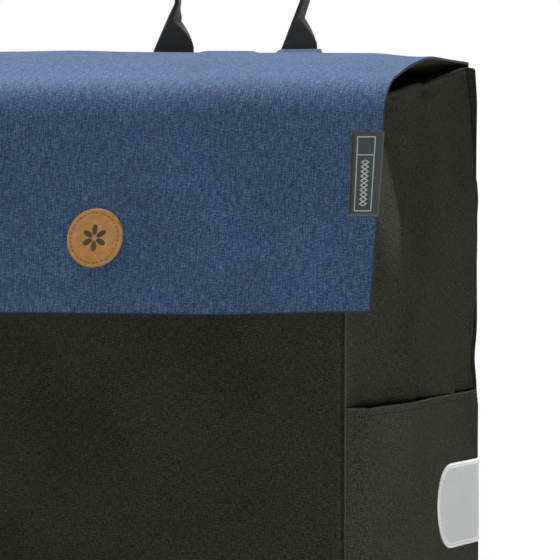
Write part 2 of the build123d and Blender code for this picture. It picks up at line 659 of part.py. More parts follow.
def frame_bolts():
    """Bolts through the upright sockets, and screws up into the shelf tube."""
    bolts = []
    for side in (-1, 1):
        outside = side * (TUBE_X + SOCKET_RADIUS)
        shank = along_x(BOLT_RADIUS, side * (TUBE_X - SOCKET_RADIUS - 4), outside, AXLE_Y, TUBE_BOLT_Z)
        bolts.append(shank + along_x(HEAD_RADIUS, outside, outside + side * HEAD, AXLE_Y, TUBE_BOLT_Z))
        below = SHELF_Z - SHELF_SOCKET
        head = along_z(HEAD_RADIUS, below - HEAD, below, side * TUBE_X, SHELF_BOLT_Y)
        bolts.append(head + shelf_bolt_shank(side))
    return bolts


def hex_nut(bore):
    nut = extrude(RegularPolygon(5, 6), amount=4.0)
    return nut - Pos(0, 0, 2) * Cylinder(bore, 6)


def frame_nuts():
    nuts = []
    for side in (-1, 1):
        place = Plane(origin=(side * (TUBE_X - SOCKET_RADIUS), AXLE_Y, TUBE_BOLT_Z), z_dir=(-side, 0, 0))
        nuts.append(place * hex_nut(BOLT_RADIUS))
    return nuts


def eye_x(side):
    """Place along X of the pivot of a clamp lever."""
    return side * (TUBE_X + EAR_HALF + CLAMP_WASHER + CAM_GAP + CAM_RADIUS + CAM_OFFSET)


def clamp_bolts():
    """Eye bolts that draw the collar's ears together."""
    bolts = []
    for side in (-1, 1):
        shank = along_x(BOLT_RADIUS, side * (TUBE_X - EAR_HALF - 5), eye_x(side), CLAMP_Y, CLAMP_Z)
        eye = along_y(EYE_RADIUS, CLAMP_Y - EYE_WIDTH / 2, CLAMP_Y + EYE_WIDTH / 2, eye_x(side), CLAMP_Z)
        pin_hole = along_y(PIN_RADIUS, CLAMP_Y - 5, CLAMP_Y + 5, eye_x(side), CLAMP_Z)
        bolts.append(shank + eye - pin_hole)
    return bolts


def clamp_nuts():
    nuts = []
    for side in (-1, 1):
        place = Plane(origin=(side * (TUBE_X - EAR_HALF), CLAMP_Y, CLAMP_Z), z_dir=(-side, 0, 0))
        nuts.append(place * hex_nut(BOLT_RADIUS))
    return nuts


def clamp_washers():
    washers = []
    for side in (-1, 1):
        x = side * (TUBE_X + EAR_HALF)
        disc = along_x(6.5, x, x + side * CLAMP_WASHER, CLAMP_Y, CLAMP_Z)
        washers.append(disc - along_x(BOLT_RADIUS, x - 2, x + 2, CLAMP_Y, CLAMP_Z))
    return washers


def lever_pins():
    half = LEVER_WIDTH / 2
    return [along_y(PIN_RADIUS, CLAMP_Y - half, CLAMP_Y + half, eye_x(side), CLAMP_Z) for side in (-1, 1)]


def clamp_lever(side):
    """Cam lever: two cheeks round the eye bolt and a finger blade that hangs down when shut."""
    cam = Pos(-CAM_OFFSET, 0) * Circle(CAM_RADIUS)
    middle = -LEVER_LENGTH / 2
    tip = -LEVER_LENGTH
    blade = Polyline((-2, 0), (CAM_RADIUS - CAM_OFFSET, 0), (LEVER_THICKNESS, middle),
                     (LEVER_THICKNESS + LEVER_FLICK, tip), (LEVER_FLICK + 1, tip), (0, middle), close=True)
    outline = make_face(blade)
    outline = fillet(outline.vertices().group_by(Axis.Y)[0], 1.5)
    shape = extrude(Plane.XZ * (cam + outline), amount=LEVER_WIDTH / 2, both=True)
    shape -= along_y(EYE_RADIUS + 3.5, -EYE_WIDTH / 2 - 0.3, EYE_WIDTH / 2 + 0.3, 0, 0)
    shape -= along_y(PIN_RADIUS + 0.05, -LEVER_WIDTH, LEVER_WIDTH, 0, 0)
    if side < 0:
        shape = mirror(shape, about=Plane.YZ)
    return Pos(eye_x(side), CLAMP_Y, CLAMP_Z) * shape


def handle_bow():
    path = FilletPolyline((-TUBE_X, AXLE_Y, LEG_BOTTOM_Z), (-TUBE_X, AXLE_Y, BOW_TOP_Z),
                          (TUBE_X, AXLE_Y, BOW_TOP_Z), (TUBE_X, AXLE_Y, LEG_BOTTOM_Z), radius=BOW_BEND)
    return bent_tube(path, LEG_RADIUS, LEG_WALL)


def handle_grip():
    """Ribbed grip sleeve on the middle of the bow."""
    half = GRIP_LENGTH / 2
    pitch = (GRIP_LENGTH - 2 * GRIP_COLLAR) / GRIP_RIBS
    flange = GRIP_RADIUS + 2
    crest = GRIP_RADIUS + GRIP_RIB
    outline = [(-half, LEG_RADIUS), (-half, flange - 1), (1 - half, flange), (GRIP_COLLAR - 4 - half, flange)]
    for step in range(GRIP_RIBS):
        x = GRIP_COLLAR - half + step * pitch
        outline += [(x, GRIP_RADIUS), (x + 0.3 * pitch, crest), (x + 0.7 * pitch, crest)]
    outline += [(half - GRIP_COLLAR, GRIP_RADIUS), (half - GRIP_COLLAR + 4, flange), (half - 1, flange),
                (half, flange - 1), (half, LEG_RADIUS)]
    face = make_face(Polyline(*outline, close=True))
    return Pos(0, AXLE_Y, BOW_TOP_Z) * revolve(Plane.XZ * face, Axis.X)


def glide_plugs():
    """Plastic plugs that centre the handle legs in the outer tubes."""
    plugs = []
    radius = TUBE_RADIUS - TUBE_WALL - SLIDE_CLEARANCE
    spigot_top = LEG_BOTTOM_Z + 14
    for side in (-1, 1):
        x = side * TUBE_X
        plug = along_z(radius, LEG_BOTTOM_Z - PLUG_LENGTH, LEG_BOTTOM_Z, x, AXLE_Y)
        plug = chamfer(plug.edges().group_by(Axis.Z)[0], 1.5)
        plugs.append(plug + along_z(LEG_RADIUS - LEG_WALL, LEG_BOTTOM_Z, spigot_top, x, AXLE_Y))
    return plugs


def nodes():
    """Every piece by name. A list is a group of separate like pieces."""
    pieces = {
        "bag_front_panel": bag_front_panel(),
        "bag_back_panel": bag_back_panel(),
        "bag_base_panel": bag_base_panel(),
        "base_board": base_board(),
        "frame_loops": frame_loops(),
        "closure_loop_pads": closure_loop_pads(),
        "closure_hook_pads": closure_hook_pads(),
        "flap_top_panel": flap_top_panel(),
        "flap_front_panel": flap_front_panel(),
        "leather_badge": leather_badge(),
        "woven_label": woven_label(),
        "strap_tabs": strap_tabs(),
        "carry_strap": carry_strap(),
        "top_bridge": top_bridge(),
        "cross_brace": cross_brace(),
        "support_frame": support_frame(),
        "shelf_rods": shelf_rods(),
        "axle": axle(),
        "axle_sleeves": axle_sleeves(),
        "axle_washers": axle_washers(),
        "axle_clips": axle_clips(),
        "bearing_inner_rings": bearing_inner_rings(),
        "hub_spacers": hub_spacers(),
        "frame_bolts": frame_bolts(),
        "frame_nuts": frame_nuts(),
        "clamp_bolts": clamp_bolts(),
        "clamp_nuts": clamp_nuts(),
        "clamp_washers": clamp_washers(),
        "lever_pins": lever_pins(),
        "handle_bow": handle_bow(),
        "handle_grip": handle_grip(),
        "glide_plugs": glide_plugs(),
    }
    paired = {
        "bag_side_panel": bag_side_panel,
        "side_pocket": side_pocket,
        "reflective_patch": reflective_patch,
        "outer_tube": outer_tube,
        "axle_bracket": axle_bracket,
        "foot_pad": foot_pad,
        "clamp_lever": clamp_lever,
        "rim": rim,
        "tyre": tyre,
        "bearing_outer_rings": bearing_outer_rings,
        "hub_cap": hub_cap,
    }
    for name, make in paired.items():
        pieces[name + "_left"] = make(-1)
        pieces[name + "_right"] = make(1)
    return pieces


def main():
    os.makedirs("parts", exist_ok=True)
    for name, piece in nodes().items():
        solid = Compound(children=piece) if isinstance(piece, list) else piece
        export_step(solid, "parts/" + name + ".step")


if __name__ == "__main__":
    main()
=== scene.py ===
import math

import bmesh
import bpy
import numpy as np
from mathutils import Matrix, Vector


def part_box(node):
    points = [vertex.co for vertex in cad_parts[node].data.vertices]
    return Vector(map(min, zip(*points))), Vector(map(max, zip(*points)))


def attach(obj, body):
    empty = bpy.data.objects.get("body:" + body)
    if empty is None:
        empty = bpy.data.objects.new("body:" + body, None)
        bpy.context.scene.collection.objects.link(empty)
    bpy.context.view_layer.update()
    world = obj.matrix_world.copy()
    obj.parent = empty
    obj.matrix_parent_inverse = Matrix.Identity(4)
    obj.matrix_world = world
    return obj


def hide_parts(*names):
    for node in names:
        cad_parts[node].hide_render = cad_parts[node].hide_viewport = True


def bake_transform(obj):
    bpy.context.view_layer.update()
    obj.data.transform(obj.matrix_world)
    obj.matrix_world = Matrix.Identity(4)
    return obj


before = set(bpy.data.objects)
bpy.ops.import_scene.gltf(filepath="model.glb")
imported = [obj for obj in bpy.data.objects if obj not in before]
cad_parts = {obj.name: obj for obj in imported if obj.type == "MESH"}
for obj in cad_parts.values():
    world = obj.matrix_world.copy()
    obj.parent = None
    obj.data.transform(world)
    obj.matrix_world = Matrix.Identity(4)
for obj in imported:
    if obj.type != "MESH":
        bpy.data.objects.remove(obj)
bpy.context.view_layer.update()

# Looks of a two-wheeled shopping trolley: sewn bag, flap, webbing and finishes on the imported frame.
# Metres, +Z up, the bag's front faces -Y. Sizes that the frame holds are read from it.

MM = 0.001

# Bag
front_low, front_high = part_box("bag_front_panel")
side_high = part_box("bag_side_panel_right")[1]
back_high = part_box("bag_back_panel")[1]
FRONT_Y = front_low.y
BACK_Y = back_high.y
BASE_Z = front_low.z
RIM_Z = front_high.z
BACK_TOP_Z = back_high.z
FRONT_HALF = 182.4 * MM
MIDDLE_HALF = side_high.x
BACK_HALF = back_high.x
CORNER = 24 * MM  # rounding of the back corners
CORNER_Y = BACK_Y - CORNER
SEAM_Y = side_high.y
SEAM_LEAN = 13 * MM  # how far the back seam comes forward at the top
PANEL = 2 * MM  # lined cloth
PUFF = 1.6 * MM  # how far a panel stands proud of its seams
LEAN_Z = 506 * MM  # above this the front leans back
LEAN_SLOPE = 33 / 108
LEAN_BLEND = 20 * MM
TUCK = 6 * MM  # how far the walls turn in at the bottom
WELT = 0.75 * MM
RIM_ROLL = 2.1 * MM
RIM_START = 33 * MM  # where the side panel's top edge starts to rise
BELLY = 1.4 * MM  # how far the front panel bulges between its seams
BELLY_HEIGHT = 420 * MM

# Folds of the side panels: places are a depth behind the front and a height
CREASE_TOP = np.array([36, 590]) * MM
CREASE_FOOT = np.array([69, 526]) * MM
CREASE_HEIGHT = 9 * MM
CREASE_FRONT = 12 * MM
CREASE_BEHIND = 22 * MM
BUCKLES = ((42, 9, 1.8), (66, 12, -2.6), (99, 13, 2.4), (117, 9, -4.0), (180, 11, 2.6), (198, 8, -2.8))
BUCKLE_REACH = 34  # millimetres, like each buckle's depth, width and height
CREASE_HIGHLIGHT_TONE = 0.17  # painted highlight: how much lighter the cloth is made on the facet in front of a side panel's crease

# Pockets and patches
pocket_low, pocket_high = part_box("side_pocket_right")
patch_low, patch_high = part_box("reflective_patch_right")
POCKET_CLOTH = 1.4 * MM
POCKET_HEM = 5 * MM
POCKET_RISE = 2.8 * MM  # how much higher the pocket's edge is at the back
POCKET_FRONT_Y = FRONT_Y + 0.4 * MM
POCKET_BACK_Y = SEAM_Y + 2 * MM
PATCH_BACK_Y = SEAM_Y + 3.5 * MM
PATCH_BORDER = 3.2 * MM
FILM = 0.9 * MM

# Flap
flap_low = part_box("flap_front_panel")[0]
flap_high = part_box("flap_top_panel")[1]
FLAP_HALF = flap_high.x - 1 * MM
FLAP_CLOTH = 1.7 * MM
HEM_Y = flap_low.y
HEM_Z = 476.4 * MM
FOLD_Y = FRONT_Y + 21 * MM
FOLD_Z = 626 * MM
LEAN_TAN = (FOLD_Y - HEM_Y) / (FOLD_Z - HEM_Z)
CREST_Y = FRONT_Y + 97 * MM
CREST_Z = 656.0 * MM
CREST_TILT = 0.0215  # the flap lies higher on the left
CREST_DROP = 3.6 * MM  # at the flap's edges
SAG = 11 * MM  # how far the flap's top hangs into the bag's mouth
SPLIT_Y = FRONT_Y + 180 * MM
FLAP_BACK_Z = 650 * MM
FLAP_BACK_HALF = 180 * MM
FLANGE = 14 * MM  # turned down and sewn behind the back panel
LEATHER = 1.7 * MM
LABEL_SKEW = 0.09  # the label is sewn on slightly askew
PAD = 1.2 * MM
PAD_HALF = 23 * MM

# Carry strap and webbing
STRAP_X = 49 * MM
STRAP_HALF = 15 * MM
WEBBING = 1.8 * MM
STRAP_Y = BACK_Y + 2.6 * MM
STRAP_FOOT_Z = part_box("strap_tabs")[0].z
STRAP_TOP_Z = 752 * MM
STRAP_ARCH = 45 * MM
STRAP_CLOTH = 1.4 * MM
SPINE_HALF = 1.7 * MM  # half the thickness of the folded grip
LEG_TURNS = {-1: math.radians(23.6), 1: math.radians(-7.4)}
LEFT_CREASE = (654 * MM, 697 * MM)  # heights between which a leg folds back along its left edge
RIGHT_CREASE = (656 * MM, 687.5 * MM)
CREASE_BENDS = {-1: math.radians(62), 1: math.radians(96)}
CLOSED_BEND = math.radians(89)
FOLDED_Z = 702 * MM
LOOP_HEIGHT = 30 * MM
LOOP_BEND = 5 * MM

# Stitches: places along one, counted in half lengths, and the girth there. Then length, pitch and radius
STITCH_FORM = ((-1.0, 0.3), (-0.62, 0.85), (0.0, 1.0), (0.62, 0.85), (1.0, 0.3))
STITCH_SIDES = 6
STITCH_LIFT = 0.1 * MM
CLOTH_STITCH = (2.9 * MM, 3.9 * MM, 0.32 * MM)
FILM_STITCH = (2.4 * MM, 3.2 * MM, 0.26 * MM)
LEATHER_STITCH = (2.0 * MM, 3.05 * MM, 0.36 * MM)
LABEL_STITCH = (1.9 * MM, 2.7 * MM, 0.22 * MM)

# Stage: each lamp has a name, a place, a target, a size and a power
LAMPS = (
    ("overhead", (-0.9, 0.75, 3.5), (0, 0, 0.4), (2.6, 2.6), 222),
    ("front", (1.1, -2.85, 0.3), (0, 0, 0.4), (1.6, 0.6), 16),
    ("side", (1.05, -0.35, 0.3), (0.2, -0.03, 0.36), (0.5, 0.3), 3.4),
    ("fill", (-2.4, 0.4, 1.2), (0, 0, 0.4), (1.2, 1.4), 7),
    ("rear", (0.5, 2.9, 0.8), (0, 0, 0.4), (1.6, 0.8), 16),
)
AMBIENT = 0.022
WHITE = (1, 1, 1, 1)
FLOOR_RADIUS = 3.2
FLOOR_FADE = (0.6, 1.5)  # distances from the object between which the floor turns to plain white
CAMERA_AZIMUTH = math.radians(23.6)
CAMERA_DISTANCE = 2.5
CAMERA_Z = 538 * MM
CAMERA_YAW = math.radians(2.955)
CAMERA_PITCH = math.radians(0.924)
CAMERA_LENS = 241.84


# Helpers for shapes

def smooth(start, end, value):
    """Soft step from 0 at start to 1 at end."""
    share = np.clip((value - start) / (end - start), 0, 1)
    return share * share * (3 - 2 * share)


def rise(start, end, value):
    """Soft step between two places given in millimetres."""
    return smooth(start * MM, end * MM, value)


def bell(distance, width):
    """Soft hump of height 1 round zero."""
    return np.exp(-(distance / width) ** 2)


def hump(value, place, width):
    """Soft hump round a place given in millimetres, like its width."""
    return bell(value - place * MM, width * MM)


def waves(u, v, length, seed, count=7):
    """Smooth uneven surface of about unit height, made of a few plane waves."""
    draw = np.random.default_rng(seed)
    total = np.zeros(np.broadcast(u, v).shape)
    for _ in range(count):
        turn, phase = draw.uniform(0, 2 * np.pi, 2)
        pitch = length * draw.uniform(0.7, 1.6)
        total = total + np.sin(2 * np.pi * (u * np.cos(turn) + v * np.sin(turn)) / pitch + phase)
    return total * 1.6 / count


def unit(vectors):
    """Vectors scaled to length 1."""
    return vectors / np.maximum(np.linalg.norm(vectors, axis=-1, keepdims=True), 1e-12)


def joined(*parts):
    """Points from their coordinates, each an array or one value."""
    return np.stack(np.broadcast_arrays(*parts), axis=-1)


def grid(first, second):
    """Places along two directions, crossed with each other."""
    return np.meshgrid(first, second, indexing="ij")


def circle(turns):
    """Points on a circle of radius 1."""
    return joined(np.cos(turns), np.sin(turns))


def full_turn(count):
    """Even angles once round."""
    return np.linspace(0, 2 * np.pi, count, endpoint=False)


def closed(rows, axis=0):
    """Rows with the first one once more at the end."""
    return np.concatenate([rows, rows.take([0], axis)], axis)


def run_along(points):
    """Length along a path, or along a grid's first direction."""
    return np.cumsum(np.linalg.norm(np.diff(points, axis=0, prepend=points[:1]), axis=-1), axis=0)


def between(places, known, values):
    """Vectors at places along a row of vectors whose places are known."""
    return joined(*(np.interp(places, known, column) for column in values.T))


def resample(path, step):
    """Points at even steps along a path, and its direction there."""
    run = run_along(path)
    count = max(2, int(round(run[-1] / step)) + 1)
    points = between(np.linspace(0, run[-1], count), run, path)
    return points, unit(np.gradient(points, axis=0))


def grid_faces(index):
    """Quads of a grid of vertex numbers, facing along the cross product of its two directions."""
    corners = [index[:-1, :-1], index[1:, :-1], index[1:, 1:], index[:-1, 1:]]
    return np.stack(corners, axis=-1).reshape(-1, 4)


def add_object(name, data):
    """Puts a mesh, lamp or camera in the scene."""
    added = bpy.data.objects.new(name, data)
    bpy.context.scene.collection.objects.link(added)
    return added


class Piece:
    """Collects the vertices, faces and flat cloth coordinates of one mesh object."""

    def __init__(self, name):
        self.name = name
        self.points = []
        self.flats = []
        self.faces = []
        self.slots = []
        self.count = 0

    def add_points(self, points, flats):
        points = np.asarray(points, float).reshape(-1, 3)
        self.points.append(points)
        self.flats.append(np.broadcast_to(np.asarray(flats, float).reshape(-1, 2), (len(points), 2)))
        numbers = np.arange(self.count, self.count + len(points))
        self.count += len(points)
        return numbers

    def add_faces(self, faces, slot=0):
        self.faces.extend(np.asarray(faces).tolist())
        self.slots.extend([slot] * len(faces))

    def turn_faces(self, start):
        """Makes the faces from a number on look the other way."""
        self.faces[start:] = [face[::-1] for face in self.faces[start:]]

    def make(self, *materials):
        flats = np.concatenate(self.flats)
        mesh = bpy.data.meshes.new(self.name)
        mesh.from_pydata(np.concatenate(self.points).tolist(), [], self.faces)
        corners = np.empty(len(mesh.loops), int)
        mesh.loops.foreach_get("vertex_index", corners)
        layer = mesh.uv_layers.new(name="cloth")
        layer.data.foreach_set("uv", flats[corners].astype(np.float32).ravel())
        mesh.polygons.foreach_set("use_smooth", [True] * len(mesh.polygons))
        for material in materials:
            mesh.materials.append(material)
        mesh.polygons.foreach_set("material_index", self.slots)
        mesh.update()
        return add_object(self.name, mesh)


def border(values):
    """A grid's values once round its border."""
    return np.concatenate([values[0, :-1], values[:-1, -1], values[-1, :0:-1], values[:0:-1, 0]])


def add_shell(piece, points, flats, thickness, inner_slot=0, rim_slot=0, roundness=0.45):
    """Cloth behind a grid of points whose normals face out, with a rounded edge all round."""
    normals = unit(np.cross(np.gradient(points, axis=0), np.gradient(points, axis=1)))
    inner = points - normals * thickness
    outside = piece.add_points(points, flats).reshape(points.shape[:2])
    inside = piece.add_points(inner, flats).reshape(points.shape[:2])
    piece.add_faces(grid_faces(outside))
    piece.add_faces(grid_faces(inside)[:, ::-1], inner_slot)
    edge = border(points)
    ahead = np.roll(edge, -1, axis=0) - np.roll(edge, 1, axis=0)
    away = unit(np.cross(border(normals), ahead))
    middle = (edge + border(inner)) / 2 + away * roundness * thickness
    rim = joined(border(outside), piece.add_points(middle, border(flats)), border(inside))
    piece.add_faces(grid_faces(closed(rim))[:, ::-1], rim_slot)


def add_rings(piece, rings, flats, slot, turn=1):
    """Closed skin over a row of rings. A turn of -1 suits rings that run the other way round."""
    index = piece.add_points(rings, flats).reshape(len(rings), -1)
    piece.add_faces(grid_faces(closed(index, 1))[:, ::turn], slot)
    piece.add_faces([index[0][::turn], index[-1][::-turn]], slot)


def add_tube(piece, path, radius, slot=0, sides=8, step=4 * MM):
    """Round cord along a path, with closed ends."""
    points, ahead = resample(path, step)
    across = unit(np.cross(ahead[0], [0.31, 0.52, 0.79]))
    turns = full_turn(sides)
    rings = []
    for point, direction in zip(points, ahead):
        across = unit(across - direction * (across @ direction))
        rings.append(point + radius * circle(turns) @ np.array([across, np.cross(direction, across)]))
    flats = joined(*grid(np.arange(len(points)) * step, turns * radius))
    add_rings(piece, rings, flats, slot)


def add_stitches(piece, path, out, slot, form=CLOTH_STITCH):
    """Row of thread stitches along a path on a surface that faces out."""
    length, pitch, radius = form
    points, ahead = resample(path, pitch)
    out = np.broadcast_to(np.asarray(out, float), path.shape)
    lift = unit(between(np.linspace(0, 1, len(points)), np.linspace(0, 1, len(out)), out))
    ring = circle(full_turn(STITCH_SIDES))
    for point, direction, outward in zip(points[:-1], ahead, lift):
        around = ring @ np.array([unit(np.cross(direction, outward)), outward])
        rings = []
        for place, girth in STITCH_FORM:
            middle = point + direction * (pitch + place * length) / 2 + outward * radius * (girth - 0.6) / 2
            rings.append(middle + radius * girth * around)
        add_rings(piece, rings, (0.0, 0.0), slot, -1)


def add_crossed_box(piece, x_ends, z_ends, y):
    """Sewn box with one diagonal, which holds an end of webbing."""
    places = [(0, 0), (1, 0), (1, 1), (0, 1), (0, 0), (1, 1)]
    box = np.array([(x_ends[i], y, z_ends[j]) for i, j in places])
    add_stitches(piece, box, (0, 1, 0), 1)


def rounded_rectangle(half_width, half_height, radius, turn_steps, side_steps=12):
    """Rectangle with rounded corners, anticlockwise. Each corner may have its own radius."""
    radii = np.broadcast_to(radius, 4)
    outline = []
    for number, (sx, sy) in enumerate(((1, 1), (-1, 1), (-1, -1), (1, -1))):
        turns = np.linspace(0, np.pi / 2, turn_steps) + number * np.pi / 2
        middle = np.array([sx * (half_width - radii[number]), sy * (half_height - radii[number])])
        outline.append(middle + radii[number] * circle(turns))
    filled = []
    for number, corner in enumerate(outline):
        start = corner[-1]
        end = outline[(number + 1) % 4][0]
        steps = np.linspace(0, 1, side_steps + 2)[1:-1, None]
        filled += [corner, start + (end - start) * steps]
    return np.concatenate(filled)


def add_plate(piece, outline, surface, thickness, insets, relief=None):
    """Thin sewn-on plate: outline(inset) is its outline, surface(a, b, lift) its place on the carrier."""
    levels = [(0.0, 0.0), (0.0, 0.65 * thickness), (0.35 * thickness, thickness)]
    levels += [(inset, thickness) for inset in insets]
    loops = []
    for inset, lift in levels:
        flat = outline(inset)
        if relief and inset >= 0.5 * MM:
            lift = lift + relief(*flat.T)
        loops.append(piece.add_points(surface(*flat.T, lift), flat))
    index = np.array(loops)
    piece.add_faces(grid_faces(closed(index, 1))[:, ::-1])
    piece.add_faces([index[-1]])


def sew_round(piece, outline, inset, surface, lift, out, form=CLOTH_STITCH):
    """Row of stitches along the inside of a plate's edge."""
    add_stitches(piece, surface(*closed(outline(inset)).T, lift), out, 1, form)


# Helpers for materials

def srgb(red, green, blue):
    """Linear colour from the 0 to 255 values that a screen shows."""
    shown = np.array([red, green, blue]) / 255
    linear = np.where(shown <= 0.04045, shown / 12.92, ((shown + 0.055) / 1.055) ** 2.4)
    return (*linear.tolist(), 1.0)


def shaded(shade, *tones):
    """Colours from screen values, all made lighter or darker."""
    return [srgb(*(shade * part for part in tone)) for tone in tones]


def toned(colour, share, lift=0.0):
    """A share of a linear colour, with some white added."""
    return (*(share * part + lift for part in colour[:3]), 1.0)


def maths(operation, order=1):
    """A method that adds a maths node. An order of -1 takes its terms from the last to the first."""
    def method(*terms):
        return terms[0].look.calc(operation, *terms[::order])
    return method


class Term:
    """A value in a node tree that takes part in sums like a number."""

    def __init__(self, look, socket):
        self.look = look
        self.socket = socket

    __add__ = maths("ADD")
    __sub__ = maths("SUBTRACT")
    __rsub__ = maths("SUBTRACT", -1)
    __mul__ = maths("MULTIPLY")
    __lt__ = maths("LESS_THAN")
    __abs__ = maths("ABSOLUTE")


class Nodes:
    """Short calls for adding nodes to a tree."""

    def __init__(self, tree):
        self.tree = tree

    def put(self, socket, value):
        if isinstance(value, Term):
            self.tree.links.new(value.socket, socket)
        else:
            socket.default_value = value

    def add(self, kind, sockets, **settings):
        added = self.tree.nodes.new("ShaderNode" + kind)
        for name, value in settings.items():
            setattr(added, name, value)
        for socket, value in sockets.items():
            self.put(added.inputs[socket], value)
        return added

    def node(self, kind, output, sockets, **settings):
        """Adds a node and gives one of its outputs."""
        return Term(self, self.add(kind, sockets, **settings).outputs[output])

    def calc(self, operation, *terms):
        return self.node("Math", 0, dict(enumerate(terms)), operation=operation)

    def direct_rays(self):
        """1 for what the camera sees itself or in a shiny surface."""
        rays = self.add("LightPath", {}).outputs
        return self.calc("MAXIMUM", Term(self, rays["Is Camera Ray"]), Term(self, rays["Is Glossy Ray"]))

    def show_mix(self, output, share, first, second):
        blend = self.node("MixShader", 0, {0: share, 1: Term(self, first.outputs[0]), 2: second})
        self.put(self.tree.nodes[output].inputs["Surface"], blend)


class Finish(Nodes):
    """A material. Its constants go straight on the shader's sockets."""

    def __init__(self, name, **constants):
        self.material = bpy.data.materials.new(name)
        self.material.use_nodes = True
        super().__init__(self.material.node_tree)
        self.shader = self.tree.nodes["Principled BSDF"]
        for socket, value in constants.items():
            self.put(self.shader.inputs[socket.replace("_", " ")], value)

    def remap(self, value, low, high, to_low=0.0, to_high=1.0):
        sockets = {"Value": value, "From Min": low, "From Max": high, "To Min": to_low, "To Max": to_high}
        return self.node("MapRange", "Result", sockets)

    def spread(self, noise, depth):
        """Noise centred on zero, up to a depth either way."""
        return self.remap(noise, 0.2, 0.8, -depth, depth)

    def ribs(self, value, pitch):
        return self.calc("SINE", value * (math.pi / pitch))

    def ramp(self, factor, *stops):
        added = self.add("ValToRGB", {"Fac": factor})
        elements = added.color_ramp.elements
        while len(elements) < len(stops):
            elements.new(0.5)
        for element, (place, colour) in zip(elements, stops):
            element.position = place
            element.color = colour
        return Term(self, added.outputs["Color"])

    def mix(self, factor, first, second):
        return self.node("Mix", 2, {0: factor, 6: first, 7: second}, data_type="RGBA")

    def flat(self):
        """Flat cloth coordinates in metres."""
        return self.node("TexCoord", "UV", {})

    def parts(self, vector):
        """A vector's first two coordinates."""
        outputs = self.add("SeparateXYZ", {"Vector": vector}).outputs
        return Term(self, outputs["X"]), Term(self, outputs["Y"])

    def place(self):
        """Place on the object in metres."""
        return self.node("TexCoord", "Object", {})

    def mark(self):
        """The value that set_mark stored for each vertex."""
        return self.node("Attribute", "Fac", {}, attribute_name="mark")

    def scaled(self, vector, x, y, z=1.0):
        return self.node("Mapping", "Vector", {"Vector": vector, "Scale": (x, y, z)})

    def noise(self, vector, scale, detail=2.0, rough=0.5):
        sockets = {"Vector": vector, "Scale": scale, "Detail": detail, "Roughness": rough}
        return self.node("TexNoise", "Fac", sockets)

    def cells(self, vector, scale, feature="F1"):
        return self.node("TexVoronoi", "Distance", {"Vector": vector, "Scale": scale}, feature=feature)

    def colour(self, value):
        self.put(self.shader.inputs["Base Color"], value)
        return self

    def rough(self, value, low, high):
        self.put(self.shader.inputs["Roughness"], self.remap(value, 0.25, 0.75, low, high))

    def bumped(self, height, distance, strength):
        """Adds relief and gives the finished material."""
        sockets = {"Height": height, "Distance": distance, "Strength": strength}
        self.put(self.shader.inputs["Normal"], self.node("Bump", "Normal", sockets))
        return self.material


# Materials

def woven(name, tones, pitch, streak, relief, cloudiness, grain, slubs=0.0, **constants):
    """Plain weave: two sets of yarns that pass over and under each other, with uneven yarn colours."""
    look = Finish(name, Roughness=0.9, **constants)
    flat = look.flat()
    u, v = look.parts(flat)
    wave_u = look.ribs(u, pitch)
    wave_v = look.ribs(v, pitch)
    over = look.remap(wave_u * wave_v, -0.3, 0.3)
    weft = look.noise(look.scaled(flat, 1 / streak, 0.8 / pitch), 1.0, 1.0)
    warp = look.noise(look.scaled(flat, 0.8 / pitch, 1 / streak), 1.0, 1.0)
    yarn = over * weft + (1.0 - over) * warp
    grain_size, grain_depth = grain
    tone = yarn + look.spread(look.noise(flat, 14.0, 3.0), cloudiness)
    tone = tone + look.spread(look.noise(flat, 1 / grain_size, 0.0), grain_depth)
    if slubs:
        thick = look.noise(look.scaled(flat, 1 / (1.3 * MM), 1 / (12 * MM)), 1.0, 1.0)
        tone = tone + look.spread(thick, slubs)
    # Painted highlight: lighter where the mesh's mark is set, which the side panels set on the facet in front
    # of their crease
    tone = tone + look.mark() * CREASE_HIGHLIGHT_TONE
    look.colour(look.ramp(tone, *zip((0.24, 0.5, 0.78), tones)))
    height = over * abs(wave_v) + (1.0 - over) * abs(wave_u)
    return look.bumped(height + yarn * 0.5, relief, 0.6)


def blue_cloth():
    tones = shaded(1, (43, 59, 79), (66, 91, 125), (108, 138, 183))
    return woven("melange_cloth", tones, 0.66 * MM, 5 * MM, 0.16 * MM, 0.05, (0.9 * MM, 0.17), 0.11,
                 Specular_IOR_Level=0.12, Sheen_Weight=0.6, Sheen_Roughness=0.4,
                 Sheen_Tint=srgb(196, 210, 240))


def black_cloth(name, shade):
    tones = shaded(shade, (32, 33, 27), (54, 55, 48), (81, 82, 74))
    return woven(name, tones, 0.5 * MM, 4 * MM, 0.1 * MM, 0.06, (0.9 * MM, 0.15), Specular_IOR_Level=0.0)


def lining_cloth(name, shade):
    tones = shaded(shade, (101, 85, 54), (121, 104, 68), (137, 119, 81))
    return woven(name, tones, 0.4 * MM, 5 * MM, 0.06 * MM, 0.1, (0.6 * MM, 0.16), Specular_IOR_Level=0.1)


def webbing_finish():
    """Ribbed webbing: fine cords along it, crossed by short picks."""
    look = Finish("webbing", Roughness=0.78, Sheen_Weight=0.15, Sheen_Roughness=0.4)
    flat = look.flat()
    along, across = look.parts(flat)
    cords = look.ribs(across, 1.1 * MM)
    weave = look.ribs(along, 0.9 * MM) * cords
    uneven = look.spread(look.noise(look.scaled(flat, 60.0, 900.0), 1.0), 0.15)
    tone = look.remap(weave, -1.0, 1.0, 0.3, 0.7) + uneven
    tones = shaded(1, (25, 25, 22), (43, 43, 39), (70, 70, 65))
    look.colour(look.ramp(tone, *zip((0.2, 0.55, 0.85), tones)))
    return look.bumped(abs(cords) + weave * 0.5, 0.25 * MM, 0.7)


def thread_finish(name, *screen):
    look = Finish(name, Roughness=0.8, Specular_IOR_Level=0.1)
    colour = srgb(*screen)
    shade = look.noise(look.place(), 900.0, 1.0)
    return look.colour(look.ramp(shade, (0.3, toned(colour, 0.6)), (0.7, colour))).material


